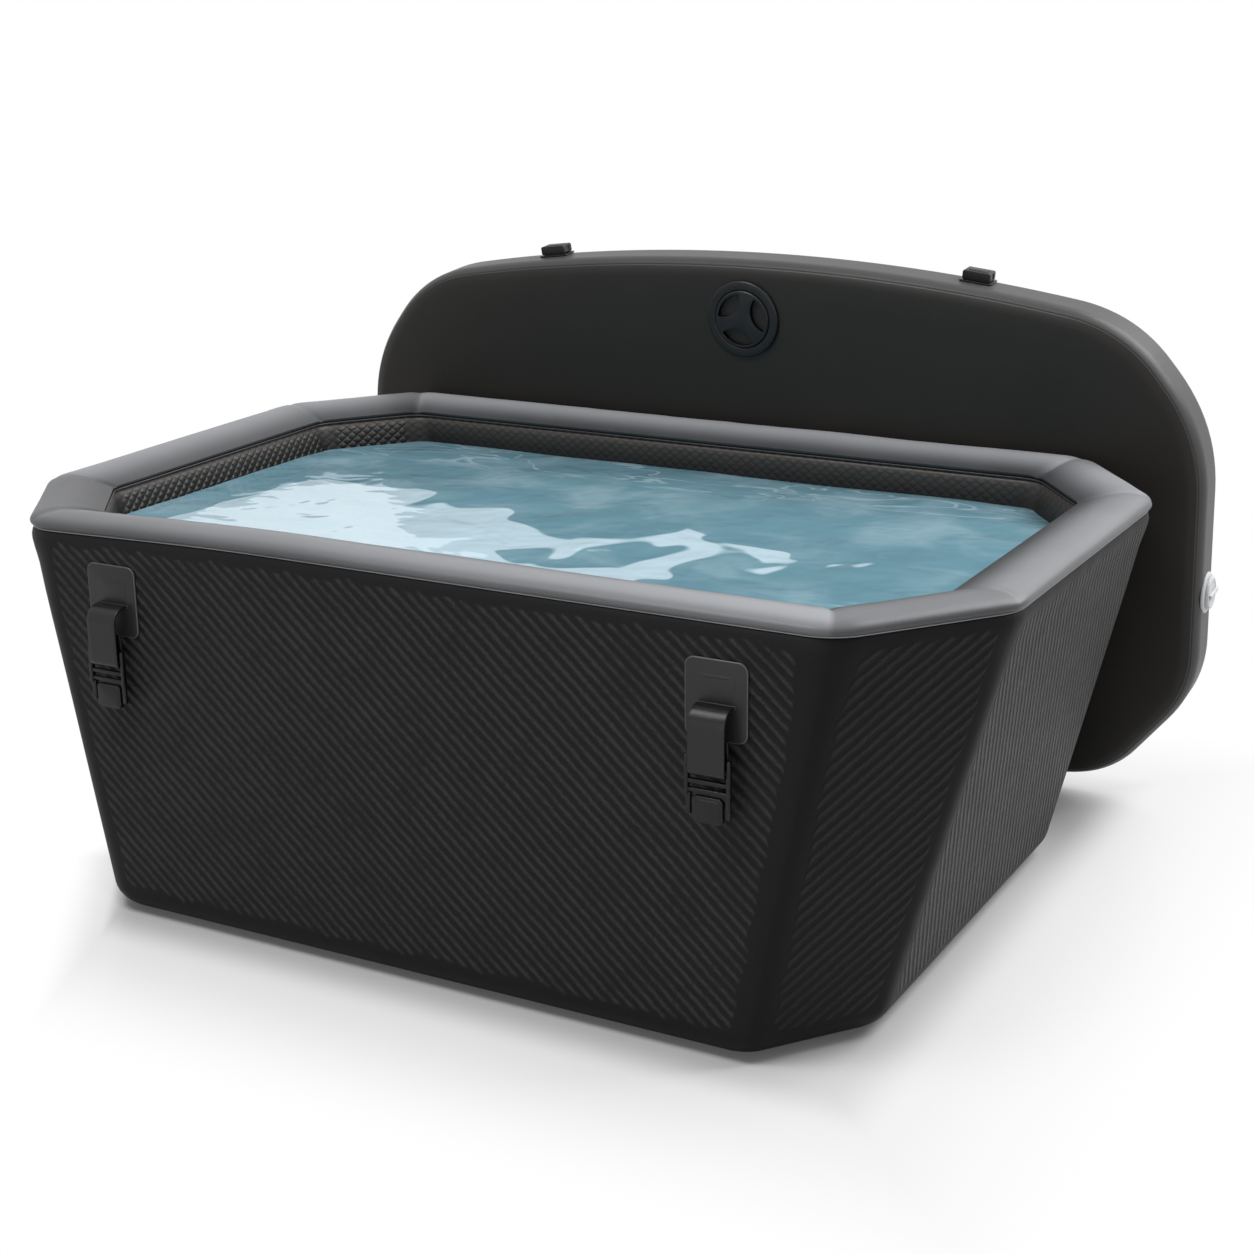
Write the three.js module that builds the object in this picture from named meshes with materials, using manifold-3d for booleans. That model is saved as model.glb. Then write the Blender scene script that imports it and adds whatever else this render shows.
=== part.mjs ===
// Inflatable cold plunge tub, with its lift-off lid leaning on the rear rim.
// Millimetres, +Z up. The origin is the middle of the tub's underside, and the front wall faces -Y.
import * as THREE from 'three';
import { mergeVertices } from 'three/addons/utils/BufferGeometryUtils.js';
import Module from 'manifold-3d';

const wasm = await Module();
wasm.setup();

// Fits shared by every seat
const GAP = 0.3;

// Tub outline at the rim seam and at the floor, cut off at the four corners
const SEAM_LENGTH = 1500;
const SEAM_WIDTH = 988;
const SEAM_HEIGHT = 563;
const SEAM_CORNER_X = 150;
const SEAM_CORNER_Y = 204;
const BASE_LENGTH = 1212;
const BASE_WIDTH = 972;
const BASE_CORNER_X = 112;

// Tub walls, floor and rim
const WALL = 98;
const BASE_SHEET = 3;
const BASE_RADIUS = 36;
const FLOOR_PANEL = 80;
const WELT = 3;
const WELT_PROUD = 5;
const WELT_ROOT = 8;
const RIM_RISE = 26;
const RIM_BULGE = 4;

// Straps on the front wall
const STRAP_FROM_END = 295;
const STRAP_DOWN = 99;
const STRAP_WIDTH = 48;
const STRAP_THICK = 3;
const STRAP_REACH = 6;
const STRAP_BEND = 20;
const STRAP_DROP = 54;
const STRAP_TAIL = 38;
const PATCH_WIDTH = 82;
const PATCH_ABOVE = 56;
const PATCH_BELOW = 44;
const PATCH_CORNER = 12;
const PATCH_THICK = 3;
const WELD_HEIGHT = 34;
const WELD_RAISE = 1.2;

// Buckle plug on each strap
const BAR = 6;
const BAR_WRAP = 4.8;
const PLUG_THICK = 6;
const PLUG_SLOT_PLAY = 0.8;
const PLUG_RAIL = 5.4;
const PLUG_RAIL_RISE = 14;
const PLUG_SLOT = 10;
const PLUG_LOWER_BAR = 5;
const PLUG_LOWER_SLOT = 7;
const PLUG_ROOT = 8;
const PLUG_TONGUE_WIDTH = 40;
const PLUG_TONGUE = 34;
const PLUG_ARM = 26;
const PLUG_ARM_GAP = 2.5;
const PLUG_BARB = 3;

// Lid outline: arched long edges, slanted corners, straight ends
const LID_LENGTH = 1490;
const LID_WIDTH = 854;
const LID_ARCH_RADIUS = 3200;
const LID_CORNER_X = 617;
const LID_CORNER_Y = 206;
const LID_LONG_FILLET = 58;
const LID_END_FILLET = 68;
const LID_THICKNESS = 90;
const LID_EDGE_RADIUS = 24;
const LID_LEAN = THREE.MathUtils.degToRad(6);
const LID_SHIFT = 26;

// Buckle sockets on the lid's upper edge
const SOCKET_X = 372;
const SOCKET_PLAY = 0.4;
const SOCKET_RISE = 14;
const SOCKET_DEPTH = 26;
const SOCKET_WALL = 1.8;
const SOCKET_BACKSET = 12;
const SOCKET_WINDOW = 10;
const SOCKET_CORNER = 3;
const TAB_MARGIN = 4;
const TAB_THICK = 2.5;

// Screw plug on the lid's face
const PLUG_DOWN = 92;
const PORT_FLANGE_R = 62;
const PORT_FLANGE = 5;
const PORT_BORE_R = 47;
const PORT_WALL = 4;
const PORT_DEPTH = 34;
const PORT_GASKET = 1.5;
const CAP_THICK = 14;
const CAP_PROUD = 2;
const CAP_RING = 6.5;
const FINGER_R = 33;
const FINGER_OFFSET = 50;
const FINGER_DEPTH = 7;
const FINGER_TURN = THREE.MathUtils.degToRad(15);

// Inflation valves, one on the lid's right edge and one on the tub's left end
const VALVE_FLANGE_R = 32;
const VALVE_FLANGE = 5;
const VALVE_GASKET = 1.5;
const VALVE_BARREL_R = 23;
const VALVE_BORE_R = 18;
const VALVE_DEPTH = 30;
const VALVE_WEB = 3;
const VALVE_SKIN = 6;
const VALVE_NUT_R = 30;
const VALVE_NUT = 6;
const VALVE_TRAVEL = 6;
const STEM_R = 3;
const STEM_PLAY = 1.2;
const STEM_HEAD_R = 8;
const STEM_HEAD = 3;
const STEM_SEAL_R = 12;
const STEM_SEAL = 3;
const STEM_SUNK = 4;
const SPRING_R = 5.4;
const SPRING_WIRE_R = 0.8;
const SPRING_TURNS = 5;
const VALVE_CAP_R = 25;
const VALVE_CAP = 5;
const VALVE_GRIP = 4;
const VALVE_GRIP_WIDTH = 7;
const LID_VALVE_DOWN = 51;
const LID_VALVE_SEAT = 3.2;
const TUB_VALVE_ALONG = -130;
const TUB_VALVE_DOWN = 143;

// Drain through the tub's left end
const DRAIN_HEIGHT = 126;
const DRAIN_TUBE_R = 20;
const DRAIN_BORE_R = 15;
const DRAIN_SPOUT = 26;
const DRAIN_FLANGE_R = 36;
const DRAIN_FLANGE = 5;
const DRAIN_GASKET = 1.5;
const DRAIN_NUT_R = 32;
const DRAIN_NUT = 8;
const DRAIN_INSIDE = 3;
const DRAIN_CAP_WALL = 5;
const DRAIN_CAP_END = 5;
const DRAIN_FLUTES = 12;
const DRAIN_FLUTE_DEPTH = 1.5;

// Mesh fineness
const ROUND_STEPS = 24;
const EDGE_STEPS = 3;
const RIM_STEPS = 12;
const ARCH_STEPS = 12;
const CORNER_STEPS = 6;
const FLUTE_STEPS = 6;
const COIL_STEPS = 10;
const WIRE_STEPS = 3;
const MERGE_DISTANCE = 1e-4;

// Finishes
const RIBBED_PVC = { color: 0x2b2b2c, roughness: 0.62 };
const RIM_PVC = { color: 0x55575a, roughness: 0.42 };
const FLOOR_PVC = { color: 0x26282a, roughness: 0.55 };
const LID_PVC = { color: 0x232525, roughness: 0.6 };
const BAND_PVC = { color: 0x3c3e41, roughness: 0.5 };
const WEBBING = { color: 0x2c2c2d, roughness: 0.7 };
const BLACK_PLASTIC = { color: 0x202122, roughness: 0.4 };
const WHITE_PLASTIC = { color: 0xd9dadb, roughness: 0.35 };
const SEAL_RUBBER = { color: 0x161616, roughness: 0.8 };
const STEEL = { color: 0xb9bcc0, roughness: 0.3, metalness: 1 };

// Shared vertices, no empty triangles, faces pointing out
function closed(geometry) {
  const bare = geometry.clone();
  bare.deleteAttribute('normal');
  bare.deleteAttribute('uv');
  const merged = mergeVertices(bare, MERGE_DISTANCE);
  const corner = (i) => new THREE.Vector3().fromBufferAttribute(merged.attributes.position, i);
  const source = merged.index.array;
  const kept = [];
  let volume = 0;
  for (let i = 0; i < source.length; i += 3) {
    const [a, b, c] = [source[i], source[i + 1], source[i + 2]];
    if (a === b || b === c || c === a) continue;
    kept.push(a, b, c);
    volume += corner(a).dot(corner(b).cross(corner(c)));
  }
  if (volume < 0) kept.reverse();
  merged.setIndex(kept);
  merged.computeVertexNormals();
  return merged;
}

function fromFaces(points, faces) {
  const geometry = new THREE.BufferGeometry().setFromPoints(points);
  geometry.setIndex(faces.flatMap((f) => f.slice(2).flatMap((last, k) => [f[0], f[k + 1], last])));
  return closed(geometry);
}

// Rings of equal length joined side by side, with flat ends or, as a loop, back to the first ring
function loft(rings, isLoop = false) {
  const n = rings[0].length;
  const faces = [];
  const joins = isLoop ? rings.length : rings.length - 1;
  for (let r = 0; r < joins; r += 1) {
    const low = r * n;
    const high = ((r + 1) % rings.length) * n;
    for (let k = 0; k < n; k += 1) {
      const next = (k + 1) % n;
      faces.push([low + k, low + next, high + next, high + k]);
    }
  }
  if (!isLoop) {
    const ring = [...Array(n).keys()];
    faces.push([...ring].reverse(), ring.map((k) => (rings.length - 1) * n + k));
  }
  return fromFaces(rings.flat(), faces);
}

function solid(geometry) {
  return new wasm.Manifold(new wasm.Mesh({
    numProp: 3,
    vertProperties: geometry.attributes.position.array,
    triVerts: new Uint32Array(geometry.index.array),
  }));
}

function unsolid(manifold) {
  const { vertProperties, triVerts } = manifold.getMesh();
  const geometry = new THREE.BufferGeometry();
  geometry.setAttribute('position', new THREE.BufferAttribute(vertProperties, 3));
  geometry.setIndex(Array.from(triVerts));
  return closed(geometry);
}

function cut(geometry, ...cutters) {
  return unsolid(cutters.reduce((whole, cutter) => whole.subtract(solid(cutter)), solid(geometry)));
}

function join(geometry, ...others) {
  return unsolid(others.reduce((whole, other) => whole.add(solid(other)), solid(geometry)));
}

// A turned profile of [radius, height] points round the local z axis
function turned(profile, steps = ROUND_STEPS) {
  const points = profile.map(([r, z]) => new THREE.Vector2(r, z));
  return closed(new THREE.LatheGeometry(points, steps).rotateX(Math.PI / 2));
}

function disc(radius, low, high, steps = ROUND_STEPS) {
  return turned([[0, low], [radius, low], [radius, high], [0, high]], steps);
}

function hoop(inner, outer, low, high) {
  return turned([[inner, low], [outer, low], [outer, high], [inner, high], [inner, low]]);
}

function plate(shape, low, high) {
  const options = { depth: high - low, bevelEnabled: false, curveSegments: CORNER_STEPS };
  return closed(new THREE.ExtrudeGeometry(shape, options).translate(0, 0, low));
}

function block(low, high) {
  const size = high.map((v, i) => v - low[i]);
  const middle = high.map((v, i) => (v + low[i]) / 2);
  return closed(new THREE.BoxGeometry(...size).translate(...middle));
}

function roundedRectangle(left, bottom, right, top, radius) {
  const shape = new THREE.Shape();
  shape.moveTo(left + radius, bottom);
  shape.lineTo(right - radius, bottom);
  shape.absarc(right - radius, bottom + radius, radius, -Math.PI / 2, 0);
  shape.lineTo(right, top - radius);
  shape.absarc(right - radius, top - radius, radius, 0, Math.PI / 2);
  shape.lineTo(left + radius, top);
  shape.absarc(left + radius, top - radius, radius, Math.PI / 2, Math.PI);
  shape.lineTo(left, bottom + radius);
  shape.absarc(left + radius, bottom + radius, radius, Math.PI, 1.5 * Math.PI);
  return shape;
}

function polygon(points) {
  return new THREE.Shape(points.map(([x, y]) => new THREE.Vector2(x, y)));
}

function addPiece(parent, name, geometry, finish) {
  const mesh = new THREE.Mesh(geometry, new THREE.MeshStandardMaterial(finish));
  mesh.name = name;
  parent.add(mesh);
  return mesh;
}

function arcPoints(centre, radius, from, to, steps) {
  return Array.from({ length: steps + 1 }, (_, k) => {
    const angle = from + ((to - from) * k) / steps;
    return [centre[0] + radius * Math.cos(angle), centre[1] + radius * Math.sin(angle)];
  });
}

// The eight sides of the tub, each leaning evenly from its floor line to its seam line
const cornerLength = Math.hypot(SEAM_CORNER_X, SEAM_CORNER_Y);
const cornerNormal = [SEAM_CORNER_Y / cornerLength, SEAM_CORNER_X / cornerLength];

function sideReach(kind, length, width, cornerX) {
  if (kind === 'long') return width / 2;
  if (kind === 'end') return length / 2;
  return cornerNormal[0] * (length / 2 - cornerX) + cornerNormal[1] * (width / 2);
}

function makeSide(name, kind, nx, ny) {
  const base = sideReach(kind, BASE_LENGTH, BASE_WIDTH, BASE_CORNER_X);
  const seam = sideReach(kind, SEAM_LENGTH, SEAM_WIDTH, SEAM_CORNER_X);
  return { name, nx, ny, base, slope: (seam - base) / SEAM_HEIGHT };
}

const [cnx, cny] = cornerNormal;
const sides = [
  makeSide('front', 'long', 0, -1),
  makeSide('front_right', 'corner', cnx, -cny),
  makeSide('right', 'end', 1, 0),
  makeSide('back_right', 'corner', cnx, cny),
  makeSide('back', 'long', 0, 1),
  makeSide('back_left', 'corner', -cnx, cny),
  makeSide('left', 'end', -1, 0),
  makeSide('front_left', 'corner', -cnx, -cny),
];

// Where a side meets the next one, at a height and a level distance in from the outer face
function cornerPoint(index, inset, z) {
  const one = sides[index];
  const two = sides[(index + 1) % sides.length];
  const r1 = one.base + one.slope * z - inset;
  const r2 = two.base + two.slope * z - inset;
  const det = one.nx * two.ny - one.ny * two.nx;
  return new THREE.Vector3((r1 * two.ny - r2 * one.ny) / det, (one.nx * r2 - two.nx * r1) / det, z);
}

function octagon(inset, z) {
  return sides.map((_, i) => cornerPoint(i, inset, z));
}

// One mitred length along a side, from a profile of [inset, height] points
function sideLength(index, profile) {
  const { nx, ny } = sides[index];
  const along = new THREE.Vector3(-ny, nx, 0).multiplyScalar(GAP / 2);
  const before = (index + sides.length - 1) % sides.length;
  const start = profile.map(([inset, z]) => cornerPoint(before, inset, z).add(along));
  const end = profile.map(([inset, z]) => cornerPoint(index, inset, z).sub(along));
  return loft([start, end]);
}

function ringLength(profile) {
  return loft(sides.map((_, i) => profile.map(([inset, z]) => cornerPoint(i, inset, z))), true);
}

// Cross-sections of [inset, height] points: the wall, the seam welt above it and the padded rim
const wallTop = SEAM_HEIGHT - WELT / 2;
const rimLow = SEAM_HEIGHT + WELT / 2;
const footCentre = [BASE_RADIUS, BASE_SHEET + BASE_RADIUS];
const footArc = arcPoints(footCentre, BASE_RADIUS, 1.5 * Math.PI, Math.PI, EDGE_STEPS);
const wallProfile = [...footArc, [0, wallTop], [WALL, wallTop], [WALL, BASE_SHEET]];
const weltProfile = [
  [-WELT_PROUD, wallTop],
  [-WELT_PROUD, rimLow],
  [WELT_ROOT, rimLow],
  [WELT_ROOT, wallTop],
];
const rimProfile = arcPoints([0, 0], 1, Math.PI, 0, RIM_STEPS).map(([across, up]) => [
  WALL / 2 + (WALL / 2 + RIM_BULGE) * across,
  rimLow + RIM_RISE * up,
]);

// A frame on the outside of a wall: x along it, y up it and z straight out of it
function wallFrame(parent, name, along, height) {
  const side = sides.find((s) => s.name === name);
  const reach = side.base + side.slope * height;
  const out = new THREE.Vector3(side.nx, side.ny, -side.slope).normalize();
  const up = new THREE.Vector3(side.nx * side.slope, side.ny * side.slope, 1).normalize();
  const across = new THREE.Vector3().crossVectors(up, out);
  const frame = new THREE.Group();
  frame.quaternion.setFromRotationMatrix(new THREE.Matrix4().makeBasis(across, up, out));
  frame.position.set(side.nx * reach, side.ny * reach, height).addScaledVector(across, along);
  frame.updateMatrix();
  parent.add(frame);
  return frame;
}

function wallDepth(name) {
  const { slope } = sides.find((s) => s.name === name);
  return WALL / Math.hypot(1, slope);
}

// Inflation valve round the local z axis, z out of the surface that it seats on
const valveSeat = {
  hole: VALVE_BARREL_R + GAP,
  pocket: VALVE_NUT_R + GAP,
  pocketDepth: VALVE_DEPTH + STEM_SEAL + VALVE_TRAVEL + 2 * GAP,
};

function valveCutters(seatDepth, frame) {
  const recess = disc(VALVE_FLANGE_R + GAP, -seatDepth, VALVE_FLANGE);
  const hole = disc(valveSeat.hole, -seatDepth - 2 * VALVE_SKIN, VALVE_FLANGE);
  const pocket = disc(valveSeat.pocket, -seatDepth - valveSeat.pocketDepth, -seatDepth - VALVE_SKIN);
  return [recess, hole, pocket].map((c) => closed(c.applyMatrix4(frame.matrix)));
}

function springGeometry(low, high) {
  const coil = new (class extends THREE.Curve {
    getPoint(t, target = new THREE.Vector3()) {
      const angle = 2 * Math.PI * SPRING_TURNS * t;
      return target.set(SPRING_R * Math.cos(angle), SPRING_R * Math.sin(angle), low + (high - low) * t);
    }
  })();
  const wire = new THREE.Shape().absarc(0, 0, SPRING_WIRE_R, 0, 2 * Math.PI);
  const options = { steps: COIL_STEPS * SPRING_TURNS, extrudePath: coil, curveSegments: WIRE_STEPS };
  return closed(new THREE.ExtrudeGeometry(wire, options));
}

function addValve(frame, prefix, seatDepth) {
  const gasketLow = GAP - seatDepth;
  const flangeLow = gasketLow + VALVE_GASKET + GAP;
  const flangeTop = flangeLow + VALVE_FLANGE;
  const barrelLow = -seatDepth - VALVE_DEPTH;
  const webTop = barrelLow + VALVE_WEB;
  const stemHole = STEM_R + STEM_PLAY;
  const headTop = flangeTop - VALVE_FLANGE - STEM_SUNK;
  const headLow = headTop - STEM_HEAD;
  const sealTop = barrelLow - GAP;
  const nutTop = -seatDepth - VALVE_SKIN - GAP;
  const body = turned([
    [VALVE_BORE_R, flangeTop],
    [VALVE_FLANGE_R - VALVE_GASKET, flangeTop],
    [VALVE_FLANGE_R, flangeTop - VALVE_GASKET],
    [VALVE_FLANGE_R, flangeLow],
    [VALVE_BARREL_R, flangeLow],
    [VALVE_BARREL_R, barrelLow],
    [stemHole, barrelLow],
    [stemHole, webTop],
    [VALVE_BORE_R, webTop],
    [VALVE_BORE_R, flangeTop],
  ]);
  const stem = turned([
    [0, sealTop - STEM_SEAL],
    [STEM_SEAL_R, sealTop - STEM_SEAL],
    [STEM_SEAL_R, sealTop],
    [STEM_R, sealTop],
    [STEM_R, headLow],
    [STEM_HEAD_R, headLow],
    [STEM_HEAD_R, headTop],
    [0, headTop],
  ], ROUND_STEPS / 2);
  const capLow = flangeTop + GAP;
  const capTop = capLow + VALVE_CAP;
  const skirt = disc(VALVE_BORE_R - GAP, capLow - STEM_SUNK, capTop);
  const rim = turned([
    [0, capLow],
    [VALVE_CAP_R, capLow],
    [VALVE_CAP_R, capTop - VALVE_GASKET],
    [VALVE_CAP_R - VALVE_GASKET, capTop],
    [0, capTop],
  ]);
  const gripReach = VALVE_CAP_R - VALVE_GRIP_WIDTH / 2;
  const halfGrip = VALVE_GRIP_WIDTH / 2;
  const grip = roundedRectangle(-gripReach, -halfGrip, gripReach, halfGrip, halfGrip - GAP);
  const springHalf = SPRING_WIRE_R + GAP;
  const gasket = hoop(valveSeat.hole, VALVE_FLANGE_R - GAP, gasketLow, gasketLow + VALVE_GASKET);
  const nut = hoop(valveSeat.hole, VALVE_NUT_R, nutTop - VALVE_NUT, nutTop);
  const spring = springGeometry(webTop + springHalf, headLow - springHalf);
  const cap = join(rim, skirt, plate(grip, capTop - GAP, capTop + VALVE_GRIP));
  addPiece(frame, `${prefix}_valve_gasket`, gasket, SEAL_RUBBER);
  addPiece(frame, `${prefix}_valve_body`, body, WHITE_PLASTIC);
  addPiece(frame, `${prefix}_valve_nut`, nut, WHITE_PLASTIC);
  addPiece(frame, `${prefix}_valve_stem`, stem, WHITE_PLASTIC);
  addPiece(frame, `${prefix}_valve_spring`, spring, STEEL);
  addPiece(frame, `${prefix}_valve_cap`, cap, WHITE_PLASTIC);
}

// Drain round the local z axis, through the whole wall
function drainCutter(frame, depth) {
  return closed(disc(DRAIN_TUBE_R + GAP, -depth - DRAIN_INSIDE, DRAIN_INSIDE).applyMatrix4(frame.matrix));
}

function flutedDisc(radius, low, high) {
  const count = DRAIN_FLUTES * FLUTE_STEPS;
  const outline = Array.from({ length: count }, (_, k) => {
    const angle = (2 * Math.PI * k) / count;
    const reach = radius + (DRAIN_FLUTE_DEPTH * (Math.cos(angle * DRAIN_FLUTES) - 1)) / 2;
    return [reach * Math.cos(angle), reach * Math.sin(angle)];
  });
  return plate(polygon(outline), low, high);
}

function addDrain(frame, depth) {
  const gasketLow = GAP;
  const flangeLow = gasketLow + DRAIN_GASKET + GAP;
  const flangeTop = flangeLow + DRAIN_FLANGE;
  const spoutTop = flangeTop + DRAIN_SPOUT;
  const nutTop = -depth - GAP;
  const tubeLow = nutTop - DRAIN_NUT - DRAIN_INSIDE;
  const body = turned([
    [DRAIN_BORE_R, spoutTop],
    [DRAIN_TUBE_R, spoutTop],
    [DRAIN_TUBE_R, flangeTop],
    [DRAIN_FLANGE_R - DRAIN_GASKET, flangeTop],
    [DRAIN_FLANGE_R, flangeTop - DRAIN_GASKET],
    [DRAIN_FLANGE_R, flangeLow],
    [DRAIN_TUBE_R, flangeLow],
    [DRAIN_TUBE_R, tubeLow],
    [DRAIN_BORE_R, tubeLow],
    [DRAIN_BORE_R, spoutTop],
  ]);
  const capTop = spoutTop + GAP + DRAIN_CAP_END;
  const capShell = flutedDisc(DRAIN_TUBE_R + GAP + DRAIN_CAP_WALL, flangeTop + GAP, capTop);
  const cap = cut(capShell, disc(DRAIN_TUBE_R + GAP, flangeLow, spoutTop + GAP));
  const gasket = hoop(DRAIN_TUBE_R + GAP, DRAIN_FLANGE_R - GAP, gasketLow, gasketLow + DRAIN_GASKET);
  const nut = hoop(DRAIN_TUBE_R + GAP, DRAIN_NUT_R, nutTop - DRAIN_NUT, nutTop);
  addPiece(frame, 'drain_gasket', gasket, SEAL_RUBBER);
  addPiece(frame, 'drain_body', body, BLACK_PLASTIC);
  addPiece(frame, 'drain_nut', nut, BLACK_PLASTIC);
  addPiece(frame, 'drain_cap', cap, BLACK_PLASTIC);
}

// A flat band of the strap's width and thickness along a line of [out, up] points
function bandGeometry(line) {
  const half = STRAP_THICK / 2;
  const edge = (sign) => line.map(([out, up], k) => {
    const [o0, u0] = line[Math.max(k - 1, 0)];
    const [o1, u1] = line[Math.min(k + 1, line.length - 1)];
    const length = Math.hypot(o1 - o0, u1 - u0);
    return [-(out - (sign * half * (u1 - u0)) / length), up + (sign * half * (o1 - o0)) / length];
  });
  const outline = polygon([...edge(1), ...edge(-1).reverse()]);
  return closed(plate(outline, -STRAP_WIDTH / 2, STRAP_WIDTH / 2).rotateY(Math.PI / 2));
}

// Buckle plug outline round its upper bar, which the strap loops over
function plugGeometry() {
  const inner = STRAP_WIDTH / 2 + PLUG_SLOT_PLAY;
  const outer = inner + PLUG_RAIL;
  const tongue = PLUG_TONGUE_WIDTH / 2;
  const half = BAR / 2;
  const slotLow = -half - PLUG_SLOT;
  const lowerSlotTop = slotLow - PLUG_LOWER_BAR;
  const lowerSlotLow = lowerSlotTop - PLUG_LOWER_SLOT;
  const root = lowerSlotLow - PLUG_ROOT;
  const armInner = tongue + PLUG_ARM_GAP;
  const armLow = root - PLUG_ARM;
  const tongueLow = root - PLUG_TONGUE;
  const right = [
    [inner, half],
    [inner, half + PLUG_RAIL_RISE],
    [outer, half + PLUG_RAIL_RISE],
    [outer, root],
    [outer - PLUG_BARB, armLow + PLUG_BARB],
    [outer - PLUG_BARB, armLow],
    [armInner, armLow],
    [armInner, root],
    [tongue, root],
    [tongue, tongueLow + PLUG_BARB],
    [tongue - PLUG_BARB, tongueLow],
  ];
  const left = right.map(([x, y]) => [-x, y]).reverse();
  const shape = polygon([...right, ...left]);
  const slot = (low, high) => new THREE.Path(
    [[-inner, low], [inner, low], [inner, high], [-inner, high]].map(([x, y]) => new THREE.Vector2(x, y)),
  );
  shape.holes.push(slot(slotLow, -half), slot(lowerSlotLow, lowerSlotTop));
  return plate(shape, -PLUG_THICK / 2, PLUG_THICK / 2);
}

function addStrap(tub, prefix, x) {
  const frame = wallFrame(tub, 'front', x, SEAM_HEIGHT - STRAP_DOWN);
  const halfPatch = PATCH_WIDTH / 2;
  const patchTop = GAP + PATCH_THICK;
  const patch = roundedRectangle(-halfPatch, -PATCH_BELOW, halfPatch, PATCH_ABOVE, PATCH_CORNER);
  const halfStrap = STRAP_WIDTH / 2;
  const weld = block(
    [-halfStrap, STRAP_THICK, patchTop - GAP],
    [halfStrap, STRAP_THICK + WELD_HEIGHT, patchTop + WELD_RAISE],
  );
  addPiece(frame, `${prefix}_patch`, join(plate(patch, GAP, patchTop), weld), RIM_PVC);

  const rootStart = patchTop + GAP;
  const bendStart = rootStart + STRAP_REACH;
  const bend = arcPoints([bendStart, -STRAP_BEND], STRAP_BEND, Math.PI / 2, 0, CORNER_STEPS);
  addPiece(frame, `${prefix}_strap_root`, bandGeometry([[rootStart, 0], ...bend]), WEBBING);

  const out = bendStart + STRAP_BEND;
  const wrap = BAR_WRAP + STRAP_THICK / 2;
  const barUp = -STRAP_BEND - STRAP_DROP;
  const turn = arcPoints([out - wrap, barUp], wrap, 0, -Math.PI, 2 * CORNER_STEPS);
  const line = [[out, -STRAP_BEND - GAP], ...turn, [out - 2 * wrap, barUp + STRAP_TAIL]];
  addPiece(frame, `${prefix}_strap`, bandGeometry(line), WEBBING);
  const plug = addPiece(frame, `${prefix}_buckle_plug`, plugGeometry(), BLACK_PLASTIC);
  plug.position.set(0, barUp, out - wrap);
}

// Lid outline in its own plane, the upper long edge towards +y
const lidHalfLength = LID_LENGTH / 2;
const lidHalfWidth = LID_WIDTH / 2;

function archHeight(x) {
  return lidHalfWidth - LID_ARCH_RADIUS + Math.sqrt(LID_ARCH_RADIUS ** 2 - x ** 2);
}

function lidQuarter() {
  const long = new THREE.Vector2(LID_CORNER_X, archHeight(LID_CORNER_X));
  const end = new THREE.Vector2(lidHalfLength, LID_CORNER_Y);
  const slant = end.clone().sub(long).normalize();
  const archX = LID_CORNER_X - LID_LONG_FILLET;
  const endFillet = new THREE.QuadraticBezierCurve(
    new THREE.Vector2(lidHalfLength, LID_CORNER_Y - LID_END_FILLET),
    end,
    end.clone().addScaledVector(slant, -LID_END_FILLET),
  );
  const longFillet = new THREE.QuadraticBezierCurve(
    long.clone().addScaledVector(slant, LID_LONG_FILLET),
    long,
    new THREE.Vector2(archX, archHeight(archX)),
  );
  const arch = Array.from({ length: ARCH_STEPS / 2 }, (_, k) => {
    const x = archX * (1 - (2 * (k + 1)) / ARCH_STEPS);
    return new THREE.Vector2(x, archHeight(x));
  });
  return [...endFillet.getPoints(CORNER_STEPS), ...longFillet.getPoints(CORNER_STEPS), ...arch];
}

function lidOutline() {
  const quarter = lidQuarter();
  const upperLeft = quarter.slice(0, -1).reverse().map((p) => new THREE.Vector2(-p.x, p.y));
  const upper = [...quarter, ...upperLeft];
  const lower = upper.map((p) => new THREE.Vector2(-p.x, -p.y));
  return [...upper, ...lower];
}

const lidEdge = lidOutline();

function lidRing(inset, z) {
  const n = lidEdge.length;
  return lidEdge.map((p, k) => {
    const along = lidEdge[(k + 1) % n].clone().sub(lidEdge[(k + n - 1) % n]).normalize();
    return new THREE.Vector3(p.x - along.y * inset, p.y + along.x * inset, z);
  });
}

// The lid's rounded edge is shared: the band has its outer half, the core has the rest
function lidProfile(from, to, inset) {
  const centre = [LID_EDGE_RADIUS, LID_THICKNESS / 2 - LID_EDGE_RADIUS];
  const [first, ...rest] = arcPoints(centre, LID_EDGE_RADIUS, from, to, EDGE_STEPS);
  const front = [[first[0] + inset, first[1]], ...rest];
  const back = front.map(([i, z]) => [i, -z]).reverse();
  return [...back, ...front];
}

const bandProfile = lidProfile(Math.PI, 0.75 * Math.PI, 0);
const coreProfile = lidProfile(0.75 * Math.PI, Math.PI / 2, GAP);

// Where the lid stands: down on the floor, and forward on the rear rim along its lean
function lidPlace() {
  const [cosine, sine] = [Math.cos(LID_LEAN), Math.sin(LID_LEAN)];
  const down = Math.max(...bandProfile.map(([inset, z]) => (lidHalfWidth - inset) * cosine + z * sine));
  const rear = sides.find((s) => s.name === 'back');
  const proud = [...rimProfile, ...weltProfile];
  const reach = ([inset, z]) => (rear.base + rear.slope * z - inset) * cosine + z * sine;
  const back = Math.max(...proud.map(reach));
  const z = GAP + down;
  const y = (back + GAP + LID_THICKNESS / 2 - z * sine) / cosine;
  return new THREE.Vector3(LID_SHIFT, y, z);
}

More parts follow.
